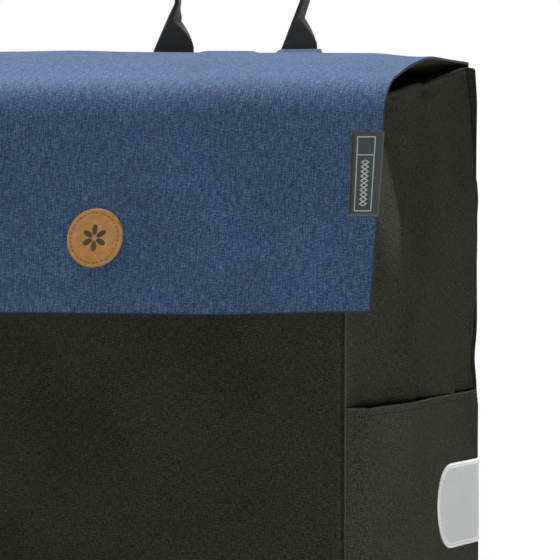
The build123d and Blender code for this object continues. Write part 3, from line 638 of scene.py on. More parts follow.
def leather_finish():
    """Smooth tanned leather with a fine pebble, darker where it is pressed in and along the edge."""
    look = Finish("leather", Roughness=0.5, Specular_IOR_Level=0.4)
    flat = look.flat()
    pebble = look.cells(flat, 1500.0, "DISTANCE_TO_EDGE")
    cloud = look.noise(flat, 160.0, 4.0, 0.6)
    tones = shaded(1, (177, 121, 66), (203, 148, 88), (221, 168, 108))
    skin = look.ramp(cloud, *zip((0.25, 0.55, 0.8), tones))
    look.colour(look.mix(look.mark(), skin, srgb(59, 42, 28)))
    look.rough(cloud, 0.42, 0.62)
    return look.bumped(pebble + cloud * 0.5, 0.12 * MM, 0.5)


def label_finish():
    """Dark satin tape with a woven frame and a row of small diamonds."""
    look = Finish("label_cloth", Roughness=0.72, Sheen_Weight=0.15)
    frame_x = 6.1 * MM
    frame_y = 24 * MM
    divider = 12.3 * MM
    diamond_half = 1.5 * MM
    flat = look.flat()
    x, y = look.parts(flat)
    apart = abs(x)
    beyond = look.calc("MAXIMUM", apart - frame_x, abs(y) - frame_y)
    line = look.remap(abs(beyond), 0.45 * MM, 0.22 * MM)
    bar = look.remap(abs(y - divider), 0.42 * MM, 0.2 * MM) * (apart < frame_x)
    step = look.calc("PINGPONG", y, 2 * diamond_half)
    diamond = apart * 0.62 + abs(step - diamond_half)
    ring = look.remap(abs(diamond - diamond_half), 0.55 * MM, 0.35 * MM)
    row = ring * (abs(y + 6 * MM) < 15 * MM)
    pattern = look.calc("MAXIMUM", line, look.calc("MAXIMUM", bar, row))
    grain = look.noise(look.scaled(flat, 4200.0, 700.0), 1.0, 1.0)
    ground = look.ramp(grain, (0.3, srgb(36, 43, 47)), (0.7, srgb(59, 68, 72)))
    look.colour(look.mix(pattern, ground, srgb(201, 204, 197)))
    return look.bumped(grain + pattern, 0.08 * MM, 0.6)


def reflective_finish():
    """Silver film with fine beads, a pressed border and faint creases."""
    look = Finish("reflective_film", Roughness=0.42, Metallic=0.35)
    flat = look.flat()
    cloud = look.noise(flat, 60.0, 4.0)
    tone = look.noise(flat, 1100.0, 1.0) * 0.7 + cloud * 0.3
    silver = look.ramp(tone, (0.3, srgb(156, 159, 159)), (0.7, srgb(187, 191, 189)))
    look.colour(look.mix(look.mark(), silver, srgb(211, 213, 210)))
    look.rough(cloud, 0.38, 0.52)
    return look.bumped(look.cells(flat, 2600.0) + cloud, 0.05 * MM, 0.35)


def fastener_finish():
    """Short hooks and loops on a tape."""
    look = Finish("touch_fastener", Roughness=0.85)
    fuzz = look.cells(look.flat(), 900.0)
    look.colour(look.ramp(fuzz, (0.1, srgb(70, 70, 68)), (0.6, srgb(31, 31, 30))))
    return look.bumped(fuzz, 0.6 * MM, 0.9)


def moulded(name, colour, grain=1600.0, relief=0.05 * MM, low=0.42, high=0.6, scuff=0.5):
    """Moulded plastic or rubber: fine spark-eroded grain, cloudy gloss and a few dusty scuffs."""
    look = Finish(name)
    place = look.place()
    cloud = look.noise(place, 22.0, 5.0, 0.6)
    dust = look.remap(cloud, 0.55, 0.85, 0.0, scuff)
    look.colour(look.mix(dust, colour, toned(colour, 0.6, 0.05)))
    look.rough(cloud, low, high)
    return look.bumped(look.noise(place, grain, 2.0), relief, 0.5)


def metal(name, colour, along, low=0.26, high=0.42):
    """Metal with fine drawing lines along one direction and slight handling marks."""
    look = Finish(name, Metallic=1.0)
    place = look.place()
    lines = look.noise(look.scaled(place, *along), 1.0, 3.0, 0.6)
    cloud = look.noise(place, 18.0, 4.0, 0.6)
    look.colour(look.ramp((lines + cloud) * 0.5, (0.35, toned(colour, 0.82)), (0.62, colour)))
    look.rough(cloud, low, high)
    return look.bumped(lines, 0.02 * MM, 0.35)


BLUE = blue_cloth()
BLACK = black_cloth("black_cloth", 1.0)
# Painted shade: the back panel's copy of the black cloth is made darker
BACK_BLACK_SHADED = black_cloth("back_cloth", 0.72)
# Painted light: the pockets' copy of the black cloth is made lighter
POCKET_BLACK_LIT = black_cloth("pocket_cloth", 1.08)
LINING = lining_cloth("lining_cloth", 1.0)
# Painted shade: the flap's underside is a darker copy of the lining
FLAP_LINING_SHADED = lining_cloth("flap_lining_shaded", 0.48)
WEB = webbing_finish()
BLACK_THREAD = thread_finish("black_thread", 46, 46, 40)
# Painted highlight: the piping and the pockets' edge cords are lighter than the black cloth, for the light
# their ridges catch
PIPING_HIGHLIGHT = thread_finish("piping_highlight", 77, 77, 66)
GREY_THREAD = thread_finish("grey_thread", 201, 204, 201)
TAN_THREAD = thread_finish("tan_thread", 172, 113, 56)
BLUE_THREAD = thread_finish("blue_thread", 68, 93, 133)
CUT_EDGE = thread_finish("cut_edge", 54, 66, 88)


# Bag surfaces, which the panels and everything sewn on them share

def bag_half(y):
    """Half width of the bag at a place along its depth, round the back corners too."""
    share = np.minimum((y - FRONT_Y) / (CORNER_Y - FRONT_Y), 1)
    wall = (FRONT_HALF * (1 - share) * (1 - 2 * share) + MIDDLE_HALF * 4 * share * (1 - share)
            + BACK_HALF * share * (2 * share - 1))
    turn = np.clip(y - CORNER_Y, 0, CORNER)
    return wall - CORNER + np.sqrt(CORNER ** 2 - turn ** 2)


def tuck(z):
    """How far the walls turn in close to the bottom."""
    return TUCK * rise(18, 0, z - BASE_Z) ** 2


def front_line(z):
    """Place of the front seam along the depth at a height."""
    above = z - LEAN_Z
    return FRONT_Y + LEAN_SLOPE * 0.5 * (above + np.sqrt(above ** 2 + LEAN_BLEND ** 2)) + tuck(z)


def front_half(z):
    """Half width of the bag at its front seams."""
    return bag_half(front_line(z)) - tuck(z)


def seam_y(z):
    """Place of the back seam along the depth, which leans forward at the top."""
    return SEAM_Y - SEAM_LEAN * smooth(578 * MM, BACK_TOP_Z, z)


def side_rim(y):
    """Height of the side panel's gathered top edge."""
    depth = y - FRONT_Y
    share = np.clip((depth - RIM_START) / (SEAM_Y - FRONT_Y - RIM_START), 0, 1)
    arch = 2 * MM * smooth(RIM_START, 70 * MM, depth) * rise(240, 200, depth)
    gathers = 1.5 * MM * hump(depth, 100, 15) - 2.5 * MM * hump(depth, 134, 10)
    return RIM_Z + (BACK_TOP_Z - RIM_Z) * share + arch + gathers


def crease(y, z):
    """Distance behind the side panel's crease, and the crease's strength."""
    depth = y - FRONT_Y - CREASE_TOP[0]
    height = z - CREASE_TOP[1]
    run = CREASE_FOOT - CREASE_TOP
    along = (depth * run[0] + height * run[1]) / (run @ run)
    apart = (height * run[0] - depth * run[1]) / np.linalg.norm(run)
    return apart, smooth(-0.3, 0.2, along) * smooth(1.5, 0.75, along)


def side_folds(side, y, z):
    """How far the side cloth stands out of its plan curve: a creased fold, buckles and soft waves."""
    depth = y - FRONT_Y
    above = z - pocket_high.z
    apart, strength = crease(y, z)
    front = np.clip(1 + apart / CREASE_FRONT, 0, 1)
    behind = np.exp(-np.abs(apart) / CREASE_BEHIND)
    folds = CREASE_HEIGHT * strength * np.where(apart < 0, front, behind)
    shown = rise(-30, 0, above) * rise(BUCKLE_REACH, 0, above)
    for place, width, height in BUCKLES:
        folds = folds + height * MM * shown * hump(depth - 0.2 * above, place, width)
    folds = folds - 3 * MM * hump(depth, 34, 17) * rise(540, 500, z)
    folds = folds + 1.2 * MM * waves(y, z, 190 * MM, 11 if side > 0 else 23)
    folds = folds + 0.2 * MM * waves(y, z, 30 * MM, 5 if side > 0 else 7)
    drawn = 2 * MM * hump(depth, 100, 12) - 4 * MM * hump(depth, 134, 10)
    return folds + drawn * rise(-11, 0, z - side_rim(y))


def edge_wave(side, z):
    """Slight unevenness of the bag's back corners."""
    drawn_in = 1.5 * MM * rise(618, 648, z) + 1.8 * MM * hump(z, 440, 14)
    pocket = 1.2 * MM * rise(418, 404, z)
    return 0.35 * MM * waves(z, 0 * z, 130 * MM, 31 if side > 0 else 37) + pocket - drawn_in


def side_x(side, y, z, share):
    """Place of the side panel's outer face. share runs from the front seam, 0, to the back seam, 1."""
    inside = smooth(0, 0.025, share) * smooth(1, 0.98, share)
    overhang = 2.9 * MM * rise(578, 562, z) * rise(468, 486, z) + 0.8 * MM * hump(z, 551, 9)
    roll = overhang * smooth(0.62, 0.97, share)
    groove = 4 * MM * smooth(0.94, 0.985, share) * rise(585, 630, z)
    out = inside * (PUFF + side_folds(side, y, z) + roll - groove)
    return side * (bag_half(y) - tuck(z) + out + smooth(0.75, 1, share) * edge_wave(side, z))


def front_face(x, z):
    """Place of the front panel's outer face along the depth."""
    share = np.abs(x) / front_half(z)
    pillow = smooth(0.994, 0.978, share)
    level = np.clip((z - BASE_Z) / BELLY_HEIGHT, 0, 1)
    belly = BELLY * (1 - np.clip(share, 0, 1) ** 2) * np.sin(np.pi * level)
    ripple = 0.5 * MM * waves(x, z, 160 * MM, 41) + 0.15 * MM * waves(x, z, 24 * MM, 43)
    return front_line(z) - pillow * (PUFF + belly + ripple)


def back_wrap(side, share, z):
    """Part of the back panel round a corner, from its seam on the side, 0, to the flat back, 1."""
    flat_share = 0.15
    turn = np.pi / 2 * np.clip((share - flat_share) / (1 - flat_share), 0, 1)
    start = seam_y(z)
    y = start + (CORNER_Y - start) * min(share / flat_share, 1) + CORNER * np.sin(turn)
    proud = 0.8 * MM * smooth(0, 0.12, share) * smooth(1, 0.7, share)
    out = proud + edge_wave(side, z) * np.cos(turn)
    x = side * (bag_half(y) - tuck(z) + out * np.cos(turn))
    return joined(x, y + (out - tuck(z)) * np.sin(turn), z)


# Bag panels

def set_mark(made, values):
    """Stores a 0 to 1 value for each vertex, which the material reads."""
    layer = made.data.attributes.new("mark", "FLOAT", "POINT")
    layer.data.foreach_set("value", np.asarray(values, np.float32))


def finish_piece(piece, materials, body, slot, *nodes):
    """Makes a piece that rides on a body and stands for solids of the frame."""
    made = piece.make(*materials)
    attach(made, body)
    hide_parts(*nodes)
    return made


def make_front():
    piece = Piece("bag_front_cloth")
    share, z = grid(np.linspace(-1, 1, 141), np.linspace(BASE_Z, RIM_Z, 170))
    share = np.sign(share) * (1 - (1 - np.abs(share)) ** 1.25)
    x = share * front_half(z)
    points = joined(x, front_face(x, z), z)
    add_shell(piece, points, joined(x, z), PANEL, 1)
    z = np.linspace(BASE_Z, RIM_Z, 90)
    for side in (-1, 1):
        # Piping with a painted highlight along each front seam
        add_tube(piece, joined(side * (front_half(z) + 0.7 * MM), front_line(z) - 1.3 * MM, z), WELT, 3)
    add_tube(piece, points[:, -1] + (0, PANEL / 2, 0), RIM_ROLL)
    add_stitches(piece, points[2:-2, -6] - (0, STITCH_LIFT, 0), (0, -1, 0), 2)
    finish_piece(piece, (BLACK, LINING, BLACK_THREAD, PIPING_HIGHLIGHT), "chassis", "black_cloth", "bag_front_panel")


def make_side(side, name):
    piece = Piece("bag_side_cloth_" + name)
    share, level = grid(np.linspace(0, 1, 131)[::side], np.linspace(0, 1, 181))
    y = FRONT_Y + share * (SEAM_Y - FRONT_Y)
    for _ in range(3):
        z = BASE_Z + level * (side_rim(y) - BASE_Z)
        y = front_line(z) + share * (seam_y(z) - front_line(z))
    points = joined(side_x(side, y, z, share), y, z)
    add_shell(piece, points, joined(run_along(points), z), PANEL, 1)
    add_tube(piece, points[:, -1] - (side * PANEL / 2, 0, 0), RIM_ROLL)
    column = 6 if side < 0 else -7
    add_stitches(piece, points[column, 4:-4] + (side * STITCH_LIFT, 0, 0), (side, 0, 0), 2)
    made = finish_piece(piece, (BLACK, LINING, BLACK_THREAD), "chassis", "black_cloth",
                        "bag_side_panel_" + name)
    # Painted highlight: marks the facet in front of the crease, which the cloth's material makes lighter
    _, y, z = np.concatenate(piece.points).T
    apart, strength = crease(y, z)
    set_mark(made, strength * rise(-26, -6, apart) * rise(1, -0.5, apart))


def make_back():
    piece = Piece("bag_back_cloth")
    z = np.linspace(BASE_Z, BACK_TOP_Z, 120)
    corner = np.linspace(0, 1, 19)[:-1]
    columns = [back_wrap(1, share, z) for share in corner]
    flat_half = BACK_HALF - CORNER
    for x in np.linspace(flat_half, -flat_half, 101):
        line = x * (flat_half - tuck(z)) / flat_half
        ripple = 0.3 * MM * waves(line, z, 140 * MM, 51) * rise(0, 20, flat_half - abs(x))
        columns.append(joined(line, BACK_Y - tuck(z) + ripple, z))
    columns += [back_wrap(-1, share, z) for share in corner[::-1]]
    points = np.array(columns)
    middle = points[:, len(z) // 2]
    add_shell(piece, points, joined(*grid(run_along(middle), z)), PANEL, 1)
    finish_piece(piece, (BACK_BLACK_SHADED, LINING), "chassis", "black_cloth", "bag_back_panel")


def make_base():
    piece = Piece("bag_base_cloth")
    y, share = grid(np.linspace(front_line(BASE_Z), BACK_Y - TUCK, 60), np.linspace(-1, 1, 81))
    x = share * (bag_half(y + TUCK * smooth(CORNER_Y - TUCK, BACK_Y - TUCK, y)) - TUCK)
    points = joined(x, y, BASE_Z + 0.3 * MM)
    add_shell(piece, points, joined(x, y), PANEL, 1)
    add_tube(piece, closed(border(points)), 1.7 * MM)
    finish_piece(piece, (BLACK, LINING), "chassis", "black_cloth", "bag_base_panel")


# Side pockets and reflective patches

def pocket_share(y):
    """Place along a pocket, from its front, 0, to its back, 1."""
    return (y - POCKET_FRONT_Y) / (POCKET_BACK_Y - POCKET_FRONT_Y)


def pocket_x(side, y, z):
    """Place of a pocket's outer face."""
    depth = y - FRONT_Y
    share = np.clip(pocket_share(y), 0, 1)
    bulge = 8.5 * MM * rise(0, 10, depth) * (1 - 0.9 * rise(40, 165, depth))
    foot = rise(0, 30, z - pocket_low.z)
    inside = smooth(0, 0.035, share) * smooth(1, 0.95, share)
    ripple = 0.8 * MM * waves(y, z, 130 * MM, 61 if side > 0 else 67)
    opening = 2.5 * MM * rise(-45, 0, z - pocket_high.z) * hump(depth, 80, 40)
    wall = bag_half(y) + 0.7 * MM + 1.2 * MM * smooth(0, 0.04, share) - tuck(z) * (1 - foot)
    wall = wall + inside * (foot * (bulge + ripple) + PUFF + opening)
    return side * (wall + edge_wave(side, z) * smooth(0.8, 1, share))


def make_pocket(side, name):
    piece = Piece("side_pocket_cloth_" + name)
    order = np.linspace(POCKET_FRONT_Y, POCKET_BACK_Y, 121)[::side]
    y, level = grid(order, np.linspace(0, 1, 141))
    edge_z = pocket_high.z + POCKET_RISE * pocket_share(order)
    z = pocket_low.z + level * (edge_z[:, None] - pocket_low.z)
    points = joined(pocket_x(side, y, z), y, z)
    add_shell(piece, points, joined(run_along(points), z), POCKET_CLOTH, 1)
    # Edge cord with a painted highlight along the pocket's top
    add_tube(piece, points[:, -1] - (side * POCKET_CLOTH / 2, 0, 0.4 * MM), 0.8 * MM, 3)
    row_z = edge_z - POCKET_HEM
    row = joined(pocket_x(side, order, row_z) + side * STITCH_LIFT, order, row_z)
    add_stitches(piece, row[4:-4], (side, 0, 0), 2)
    add_tube(piece, points[:, 0] - (side * 0.4 * MM, 0, -0.5 * MM), 1.2 * MM)
    finish_piece(piece, (POCKET_BLACK_LIT, LINING, BLACK_THREAD, PIPING_HIGHLIGHT), "chassis", "black_cloth",
                 "side_pocket_" + name)


def make_patch(side, name):
    piece = Piece("reflective_film_" + name)
    half_y = (PATCH_BACK_Y - patch_low.y) / 2
    half_z = (patch_high.z - patch_low.z) / 2

    def outline(inset):
        near = max(0.6 * MM, 1.5 * MM - inset)
        far = max(0.8 * MM, half_z - 0.5 * MM - inset)
        return rounded_rectangle(half_y - inset, half_z - inset, (near, far, far, near), 9)

    def surface(a, b, lift):
        y = patch_low.y + half_y + a
        z = patch_low.z + half_z + b
        return joined(pocket_x(side, y, z) + side * (lift + 0.1 * MM), y, z)

    insets = [PATCH_BORDER, PATCH_BORDER + 0.5 * MM, *np.arange(6, 28, 3) * MM]
    add_plate(piece, outline, surface, FILM, insets)
    sew_round(piece, outline, PATCH_BORDER * 0.62, surface, FILM, (side, 0, 0), FILM_STITCH)
    if side < 0:
        piece.turn_faces(0)
    made = finish_piece(piece, (reflective_finish(), GREY_THREAD), "chassis", "reflective_film",
                        "reflective_patch_" + name)
    border_loops = 4
    set_mark(made, np.arange(piece.count) < border_loops * len(outline(0.0)))


# Flap

def hanging_face(x, z):
    """Place of the flap's hanging front along the depth."""
    hang = smooth(FOLD_Z - 12 * MM, HEM_Z, z)
    sway = 1.0 * MM * np.sin(2 * np.pi * x / (210 * MM) + 0.6)
    sway = sway + 0.5 * MM * np.sin(2 * np.pi * x / (88 * MM) + 2)
    fine = 0.3 * MM * waves(x, z, 45 * MM, 71)
    return HEM_Y + (z - HEM_Z) * LEAN_TAN - hang * (sway + fine)


def flap_back_z(x):
    """Height of the flap's back edge, pushed up where the strap is sewn under it."""
    step = rise(34, 37, x) * rise(71, 68, x)
    return FLAP_BACK_Z + 11.5 * MM * step + 10 * MM * bell(x + STRAP_X, 28 * MM)


def rounded_profile(corners, trims, line_steps, turn_steps):
    """Side views through corner points with rounded corners, one for each column."""
    rows = []
    leave = corners[0]
    for number, trim in enumerate(trims):
        start, corner = corners[number:number + 2]
        arrive = corner - unit(corner - start) * trim
        for share in np.linspace(0, 1, line_steps[number], endpoint=False):
            rows.append(leave + (arrive - leave) * share)
        if not trim:
            break
        leave = corner + unit(corners[number + 2] - corner) * trim
        for share in np.linspace(0, 1, turn_steps[number], endpoint=False):
            pull = 2 * share * (1 - share)
            rows.append(arrive * (1 - share) ** 2 + corner * pull + leave * share ** 2)
    return np.array(rows + [corners[-1]])


def flap_grid():
    """Grid of the flap from its sewn back edge to the hem, its flat places, split row and run."""
    share = np.linspace(-1, 1, 161)
    outer = np.abs(share)
    x = share * FLAP_HALF
    crest = CREST_Z - CREST_TILT * x - CREST_DROP * smooth(0.8, 1, outer)
    back = flap_back_z(share * FLAP_BACK_HALF)
    past = np.clip(outer * FLAP_BACK_HALF - BACK_HALF + CORNER, 0, CORNER)
    behind = BACK_Y + 2.4 * MM - CORNER + np.sqrt(CORNER ** 2 - past ** 2)
    split = back + (crest - back) * (BACK_Y - SPLIT_Y) / (BACK_Y - CREST_Y)
    hem = HEM_Z + 2.8 * MM * smooth(90 * MM, FLAP_HALF, np.abs(x))
    depths = [behind, behind, SPLIT_Y, CREST_Y, FOLD_Y, HEM_Y]
    heights = [FLAP_BACK_Z - FLANGE + 0 * x, back, split, crest, FOLD_Z + 0 * x, hem]
    corners = [joined(y, z) for y, z in zip(depths, heights)]
    trims = [3 * MM, 1 * MM, 42 * MM, 22 * MM, 0]
    line_steps = [6, 30, 12, 8, 62]
    turn_steps = [6, 2, 20, 18]
    split_row = sum(line_steps[:2]) + turn_steps[0]
    profile = rounded_profile(corners, trims, line_steps, turn_steps)
    y, z = np.moveaxis(profile, -1, 0)
    level = smooth(BACK_Y - 4 * MM, BACK_Y - 40 * MM, y) * smooth(FOLD_Z - 4 * MM, FOLD_Z + 12 * MM, z)
    z = z + level * 0.15 * MM * waves(x, y, 120 * MM, 73)
    hung = rise(10, 60, y - CREST_Y) * rise(-3, -45, y - BACK_Y)
    z = z - SAG * hung * smooth(1, 0.84, outer)
    on_front = (z < FOLD_Z - 14 * MM) & (y < FRONT_Y + 40 * MM)
    sway = hanging_face(x, z) - (HEM_Y + (z - HEM_Z) * LEAN_TAN)
    y = y + np.where(on_front, sway, 0)
    narrowed = (FLAP_HALF - FLAP_BACK_HALF) * np.clip((y - CREST_Y) / (BACK_Y - CREST_Y), 0, 1)
    points = joined(share * (FLAP_HALF - narrowed), y, z)
    run = run_along(profile[:, len(x) // 2])
    return points, joined(points[..., 0], -run[:, None]), split_row, run


def crisp_edges(made):
    """Keeps the cloth's shading level up to its cut edges."""
    work = bmesh.new()
    work.from_mesh(made.data)
    for edge in work.edges:
        edge.smooth = len({face.material_index for face in edge.link_faces}) == 1
    work.to_mesh(made.data)
    work.free()


def make_flap():
    points, flats, split, run = flap_grid()
    top = Piece("flap_cloth_top")
    add_shell(top, points[:split + 1], flats[:split + 1], FLAP_CLOTH, 1, 3)
    for row in (2, 4):
        add_stitches(top, points[row, 2:-2] + (0, STITCH_LIFT, 0), (0, 1, 0), 2)
    top = top.make(BLUE, FLAP_LINING_SHADED, BLUE_THREAD, CUT_EDGE)
    front = Piece("flap_cloth_front")
    add_shell(front, points[split:], flats[split:], FLAP_CLOTH, 1, 2)
    front = front.make(BLUE, FLAP_LINING_SHADED, CUT_EDGE)
    for made, node in ((top, "flap_top_panel"), (front, "flap_front_panel")):
        crisp_edges(made)
        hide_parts(node)
    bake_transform(top)
    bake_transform(front)


def make_badge():
    """Round leather badge with a sewn edge and a plain pressed rosette."""
    piece = Piece("leather_round")
    low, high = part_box("leather_badge")
    radius = (high.x - low.x) / 2
    seam = 3 * MM
    cosine = 1 / math.sqrt(1 + LEAN_TAN ** 2)
    rim = circle(full_turn(144))

    def outline(inset):
        return (radius - inset) * rim

    def petals(a, b):
        petal = 9.5 * MM * np.abs(np.cos(3 * np.arctan2(b, a) + np.pi / 2)) ** 0.7
        away = np.hypot(a, b)
        return smooth(petal, petal - 0.7 * MM, away) * rise(1.6, 2.3, away)

    def surface(a, b, lift):
        x = (high.x + low.x) / 2 + a
        z = (high.z + low.z) / 2 + b * cosine
        return joined(x, hanging_face(x, z) - lift / cosine, z)

    def relief(a, b):
        groove = bell(np.hypot(a, b) - (radius - seam), 0.6 * MM)
        return -0.35 * MM * petals(a, b) - 0.25 * MM * groove

    insets = np.arange(0.9, radius / MM - 0.3, 0.45) * MM
    add_plate(piece, outline, surface, LEATHER, insets, relief)
    sew_round(piece, outline, seam, surface, LEATHER - 0.2 * MM, (0, -1, 0.2), LEATHER_STITCH)
    made = finish_piece(piece, (leather_finish(), TAN_THREAD), "flap_front", "leather", "leather_badge")
    a, b = np.concatenate(piece.flats).T
    set_mark(made, np.maximum(0.95 * petals(a, b), 0.35 * bell(np.hypot(a, b) - radius, 0.5 * MM)))


def make_label():
    """Woven label folded round the flap's edge and sewn down."""
    piece = Piece("label_tape")
    low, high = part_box("woven_label")
    start = low.x
    edge = FLAP_HALF
    wrap = FLAP_CLOTH / 2 + 0.5 * MM
    places = [(x, -0.5 * MM) for x in np.linspace(start, edge - 0.3 * MM, 13)]
    for turn in np.linspace(0, np.pi, 9)[1:-1]:
        places.append((edge + 0.9 * wrap * math.sin(turn), FLAP_CLOTH / 2 - wrap * math.cos(turn)))
    places += [(x, FLAP_CLOTH + 0.5 * MM) for x in np.linspace(edge - 0.3 * MM, start + 2 * MM, 9)]
    across = np.array(places)
    z = np.linspace(low.z, high.z, 31)
    skew = LABEL_SKEW * (high.z - z) / (high.z - low.z)
    x = across[:, :1] + skew * (edge - across[:, :1])
    points = joined(x, hanging_face(np.minimum(x, edge), z) + across[:, 1:], z)
    flat_u = run_along(across) - (edge - start) / 2
    add_shell(piece, points, joined(*grid(flat_u, z - (low.z + high.z) / 2)), 0.6 * MM)
    x = start + 1.2 * MM + skew * (edge - start)
    row = joined(x, hanging_face(x, z) - 0.6 * MM, z)
    add_stitches(piece, row[1:-1], (0, -1, 0.2), 1, LABEL_STITCH)
    finish_piece(piece, (label_finish(), BLACK_THREAD), "flap_front", "label_cloth", "woven_label")


def make_pads(name, node, body, surface_y, outward):
    """Pair of touch fastener pads that follow the cloth they are sewn on."""
    piece = Piece(name)
    low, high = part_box(node)
    half_z = (high.z - low.z) / 2

    def outline(inset):
        return rounded_rectangle(PAD_HALF - inset, half_z - inset, max(3 * MM - inset, 0.5 * MM), 5)

    for side in (-1, 1):
        def surface(a, b, lift):
            x = side * (high.x - PAD_HALF) + a
            z = low.z + half_z + b
            return joined(x, surface_y(x, z) + outward * (lift + 0.1 * MM), z)

        start = len(piece.faces)
        add_plate(piece, outline, surface, PAD, np.array([2, 4, 6, 8]) * MM)
        if outward > 0:
            piece.turn_faces(start)
        sew_round(piece, outline, 1.6 * MM, surface, PAD, (0, outward, 0))
    finish_piece(piece, (fastener_finish(), BLACK_THREAD), body, "touch_fastener", node)


# Webbing

def strap_path():
    """Middle line of the carry strap, up one leg, over the arch and down the other."""
    bend_z = STRAP_TOP_Z - STRAP_ARCH
    leg = joined(-STRAP_X, np.linspace(STRAP_FOOT_Z, bend_z, 130))
    arch = STRAP_ARCH * circle(np.linspace(np.pi, np.pi / 2, 24)[1:]) + (STRAP_ARCH - STRAP_X, bend_z)
    half = np.concatenate([leg, arch])
    return np.concatenate([half, half[::-1] * (-1, 1)])


def strap_creases(z):
    """Places across the webbing where it folds back, from its left and from its right edge."""
    reach = STRAP_HALF + 3 * MM
    share = np.clip((z - LEFT_CREASE[0]) / (LEFT_CREASE[1] - LEFT_CREASE[0]), 0, 1)
    left = (reach + 1 * MM) * share - reach - (SPINE_HALF + 1 * MM) * rise(699, 706, z)
    share = np.clip((z - RIGHT_CREASE[0]) / (RIGHT_CREASE[1] - RIGHT_CREASE[0]), 0, 1) ** 1.9
    right = reach * (1 - share) - 4 * MM * share
    return left, np.maximum(right, left + 2 * SPINE_HALF)


def fold_run(distance, radius=0.7 * MM):
    """Distance beyond a fold, with a rounded start."""
    return radius * np.logaddexp(0, distance / radius)


def strap_section(leg, z, across):
    """Places sideways and backwards of the webbing at a height of one leg."""
    left, right = strap_creases(z)
    bend = CREASE_BENDS[leg] + (CLOSED_BEND - CREASE_BENDS[leg]) * rise(686, 700, z)
    beyond_left = fold_run(left - across)
    beyond_right = fold_run(across - right)
    sideways = across - beyond_right * (1 - np.cos(bend)) + beyond_left * (1 - np.cos(CLOSED_BEND))
    backwards = beyond_right * np.sin(bend) + beyond_left * np.sin(CLOSED_BEND)
    turn = LEG_TURNS[leg] * rise(646, 660, z) * rise(710, 690, z)
    lean = STRAP_HALF * np.abs(np.sin(turn))
    depth = lean + sideways * np.sin(turn) + backwards * np.cos(turn)
    return sideways * np.cos(turn) - backwards * np.sin(turn) - 0.44 * lean, depth


def make_strap():
    """Webbing loop: flat sewn ends whose edges fold back along creases into a narrow grip."""
    piece = Piece("carry_strap_webbing")
    path = strap_path()
    ahead = unit(np.gradient(path, axis=0))
    inward = joined(ahead[:, 1], -ahead[:, 0])
    across = np.linspace(STRAP_HALF, -STRAP_HALF, 49)
    rows = []
    for (x, z), (inward_x, inward_z) in zip(path, inward):
        leg = -1 if x < 0 else 1
        sideways, depth = strap_section(leg, z, -leg * across)
        rows.append(joined(x - leg * inward_x * sideways, STRAP_Y + depth, z - leg * inward_z * sideways))
    points = np.array(rows)
    add_shell(piece, points, joined(*grid(run_along(path), across)), STRAP_CLOTH)
    grip = path[:, 1] > FOLDED_Z
    for column, out in ((6, 1), (-7, -1)):
        out_x, out_z = out * inward[grip].T
        add_stitches(piece, points[grip, column], joined(out_x, 0, out_z), 1)
    z_ends = (STRAP_FOOT_Z + 4 * MM, FLAP_BACK_Z - FLANGE - 8 * MM)
    for middle in (-STRAP_X, STRAP_X):
        add_crossed_box(piece, (middle - 11 * MM, middle + 11 * MM), z_ends, STRAP_Y + STRAP_CLOTH)
    made = piece.make(WEB, BLACK_THREAD)
    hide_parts("carry_strap", "strap_tabs")
    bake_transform(made)


def make_frame_loops():
    """Webbing loops round the tubes, sewn to the bag's back."""
    piece = Piece("frame_loop_webbing")
    low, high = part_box("outer_tube_right")
    tube_x = (low.x + high.x) / 2
    tube_y = (low.y + high.y) / 2
    radius = (high.x - low.x) / 2 + 0.2 * MM + WEBBING
    loop_low, loop_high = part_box("frame_loops")
    seam = loop_high.x - tube_x
    back = BACK_Y + WEBBING + 0.2 * MM
    foot = radius + LOOP_BEND
    half = [(seam - step, back) for step in np.linspace(0, seam - foot, 8)]
    for turn in np.linspace(0, np.pi / 2, 7)[1:]:
        half.append((foot - LOOP_BEND * math.sin(turn), back + LOOP_BEND - LOOP_BEND * math.cos(turn)))
    half += [(radius, y) for y in np.linspace(back + LOOP_BEND, tube_y, 6)[1:]]
    for turn in np.linspace(0, np.pi / 2, 13)[1:]:
        half.append((radius * math.cos(turn), tube_y + radius * math.sin(turn)))
    plan = np.array(half + [(-x, y) for x, y in half[-2::-1]])
    for middle in (-tube_x, tube_x):
        for bottom in (loop_low.z, loop_high.z - LOOP_HEIGHT):
            levels = np.linspace(bottom, bottom + LOOP_HEIGHT, 9)
            points = joined(middle + plan[:, :1], plan[:, 1:], levels)
            add_shell(piece, points, joined(*grid(run_along(plan), levels)), WEBBING)
            for end in (-1, 1):
                x_ends = (middle + end * (foot + 1.5 * MM), middle + end * (seam - 2.5 * MM))
                add_crossed_box(piece, x_ends, (bottom + 3 * MM, bottom + 27 * MM), back)
    finish_piece(piece, (WEB, BLACK_THREAD), "chassis", "webbing", "frame_loops")


# Finishes of the rigid pieces

def dress(material, *names):
    """Gives rigid pieces of the frame their material."""
    for name in names:
        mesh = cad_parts[name].data
        mesh.materials.clear()
        mesh.materials.append(material)


def both(*names):
    return [name + end for name in names for end in ("_left", "_right")]


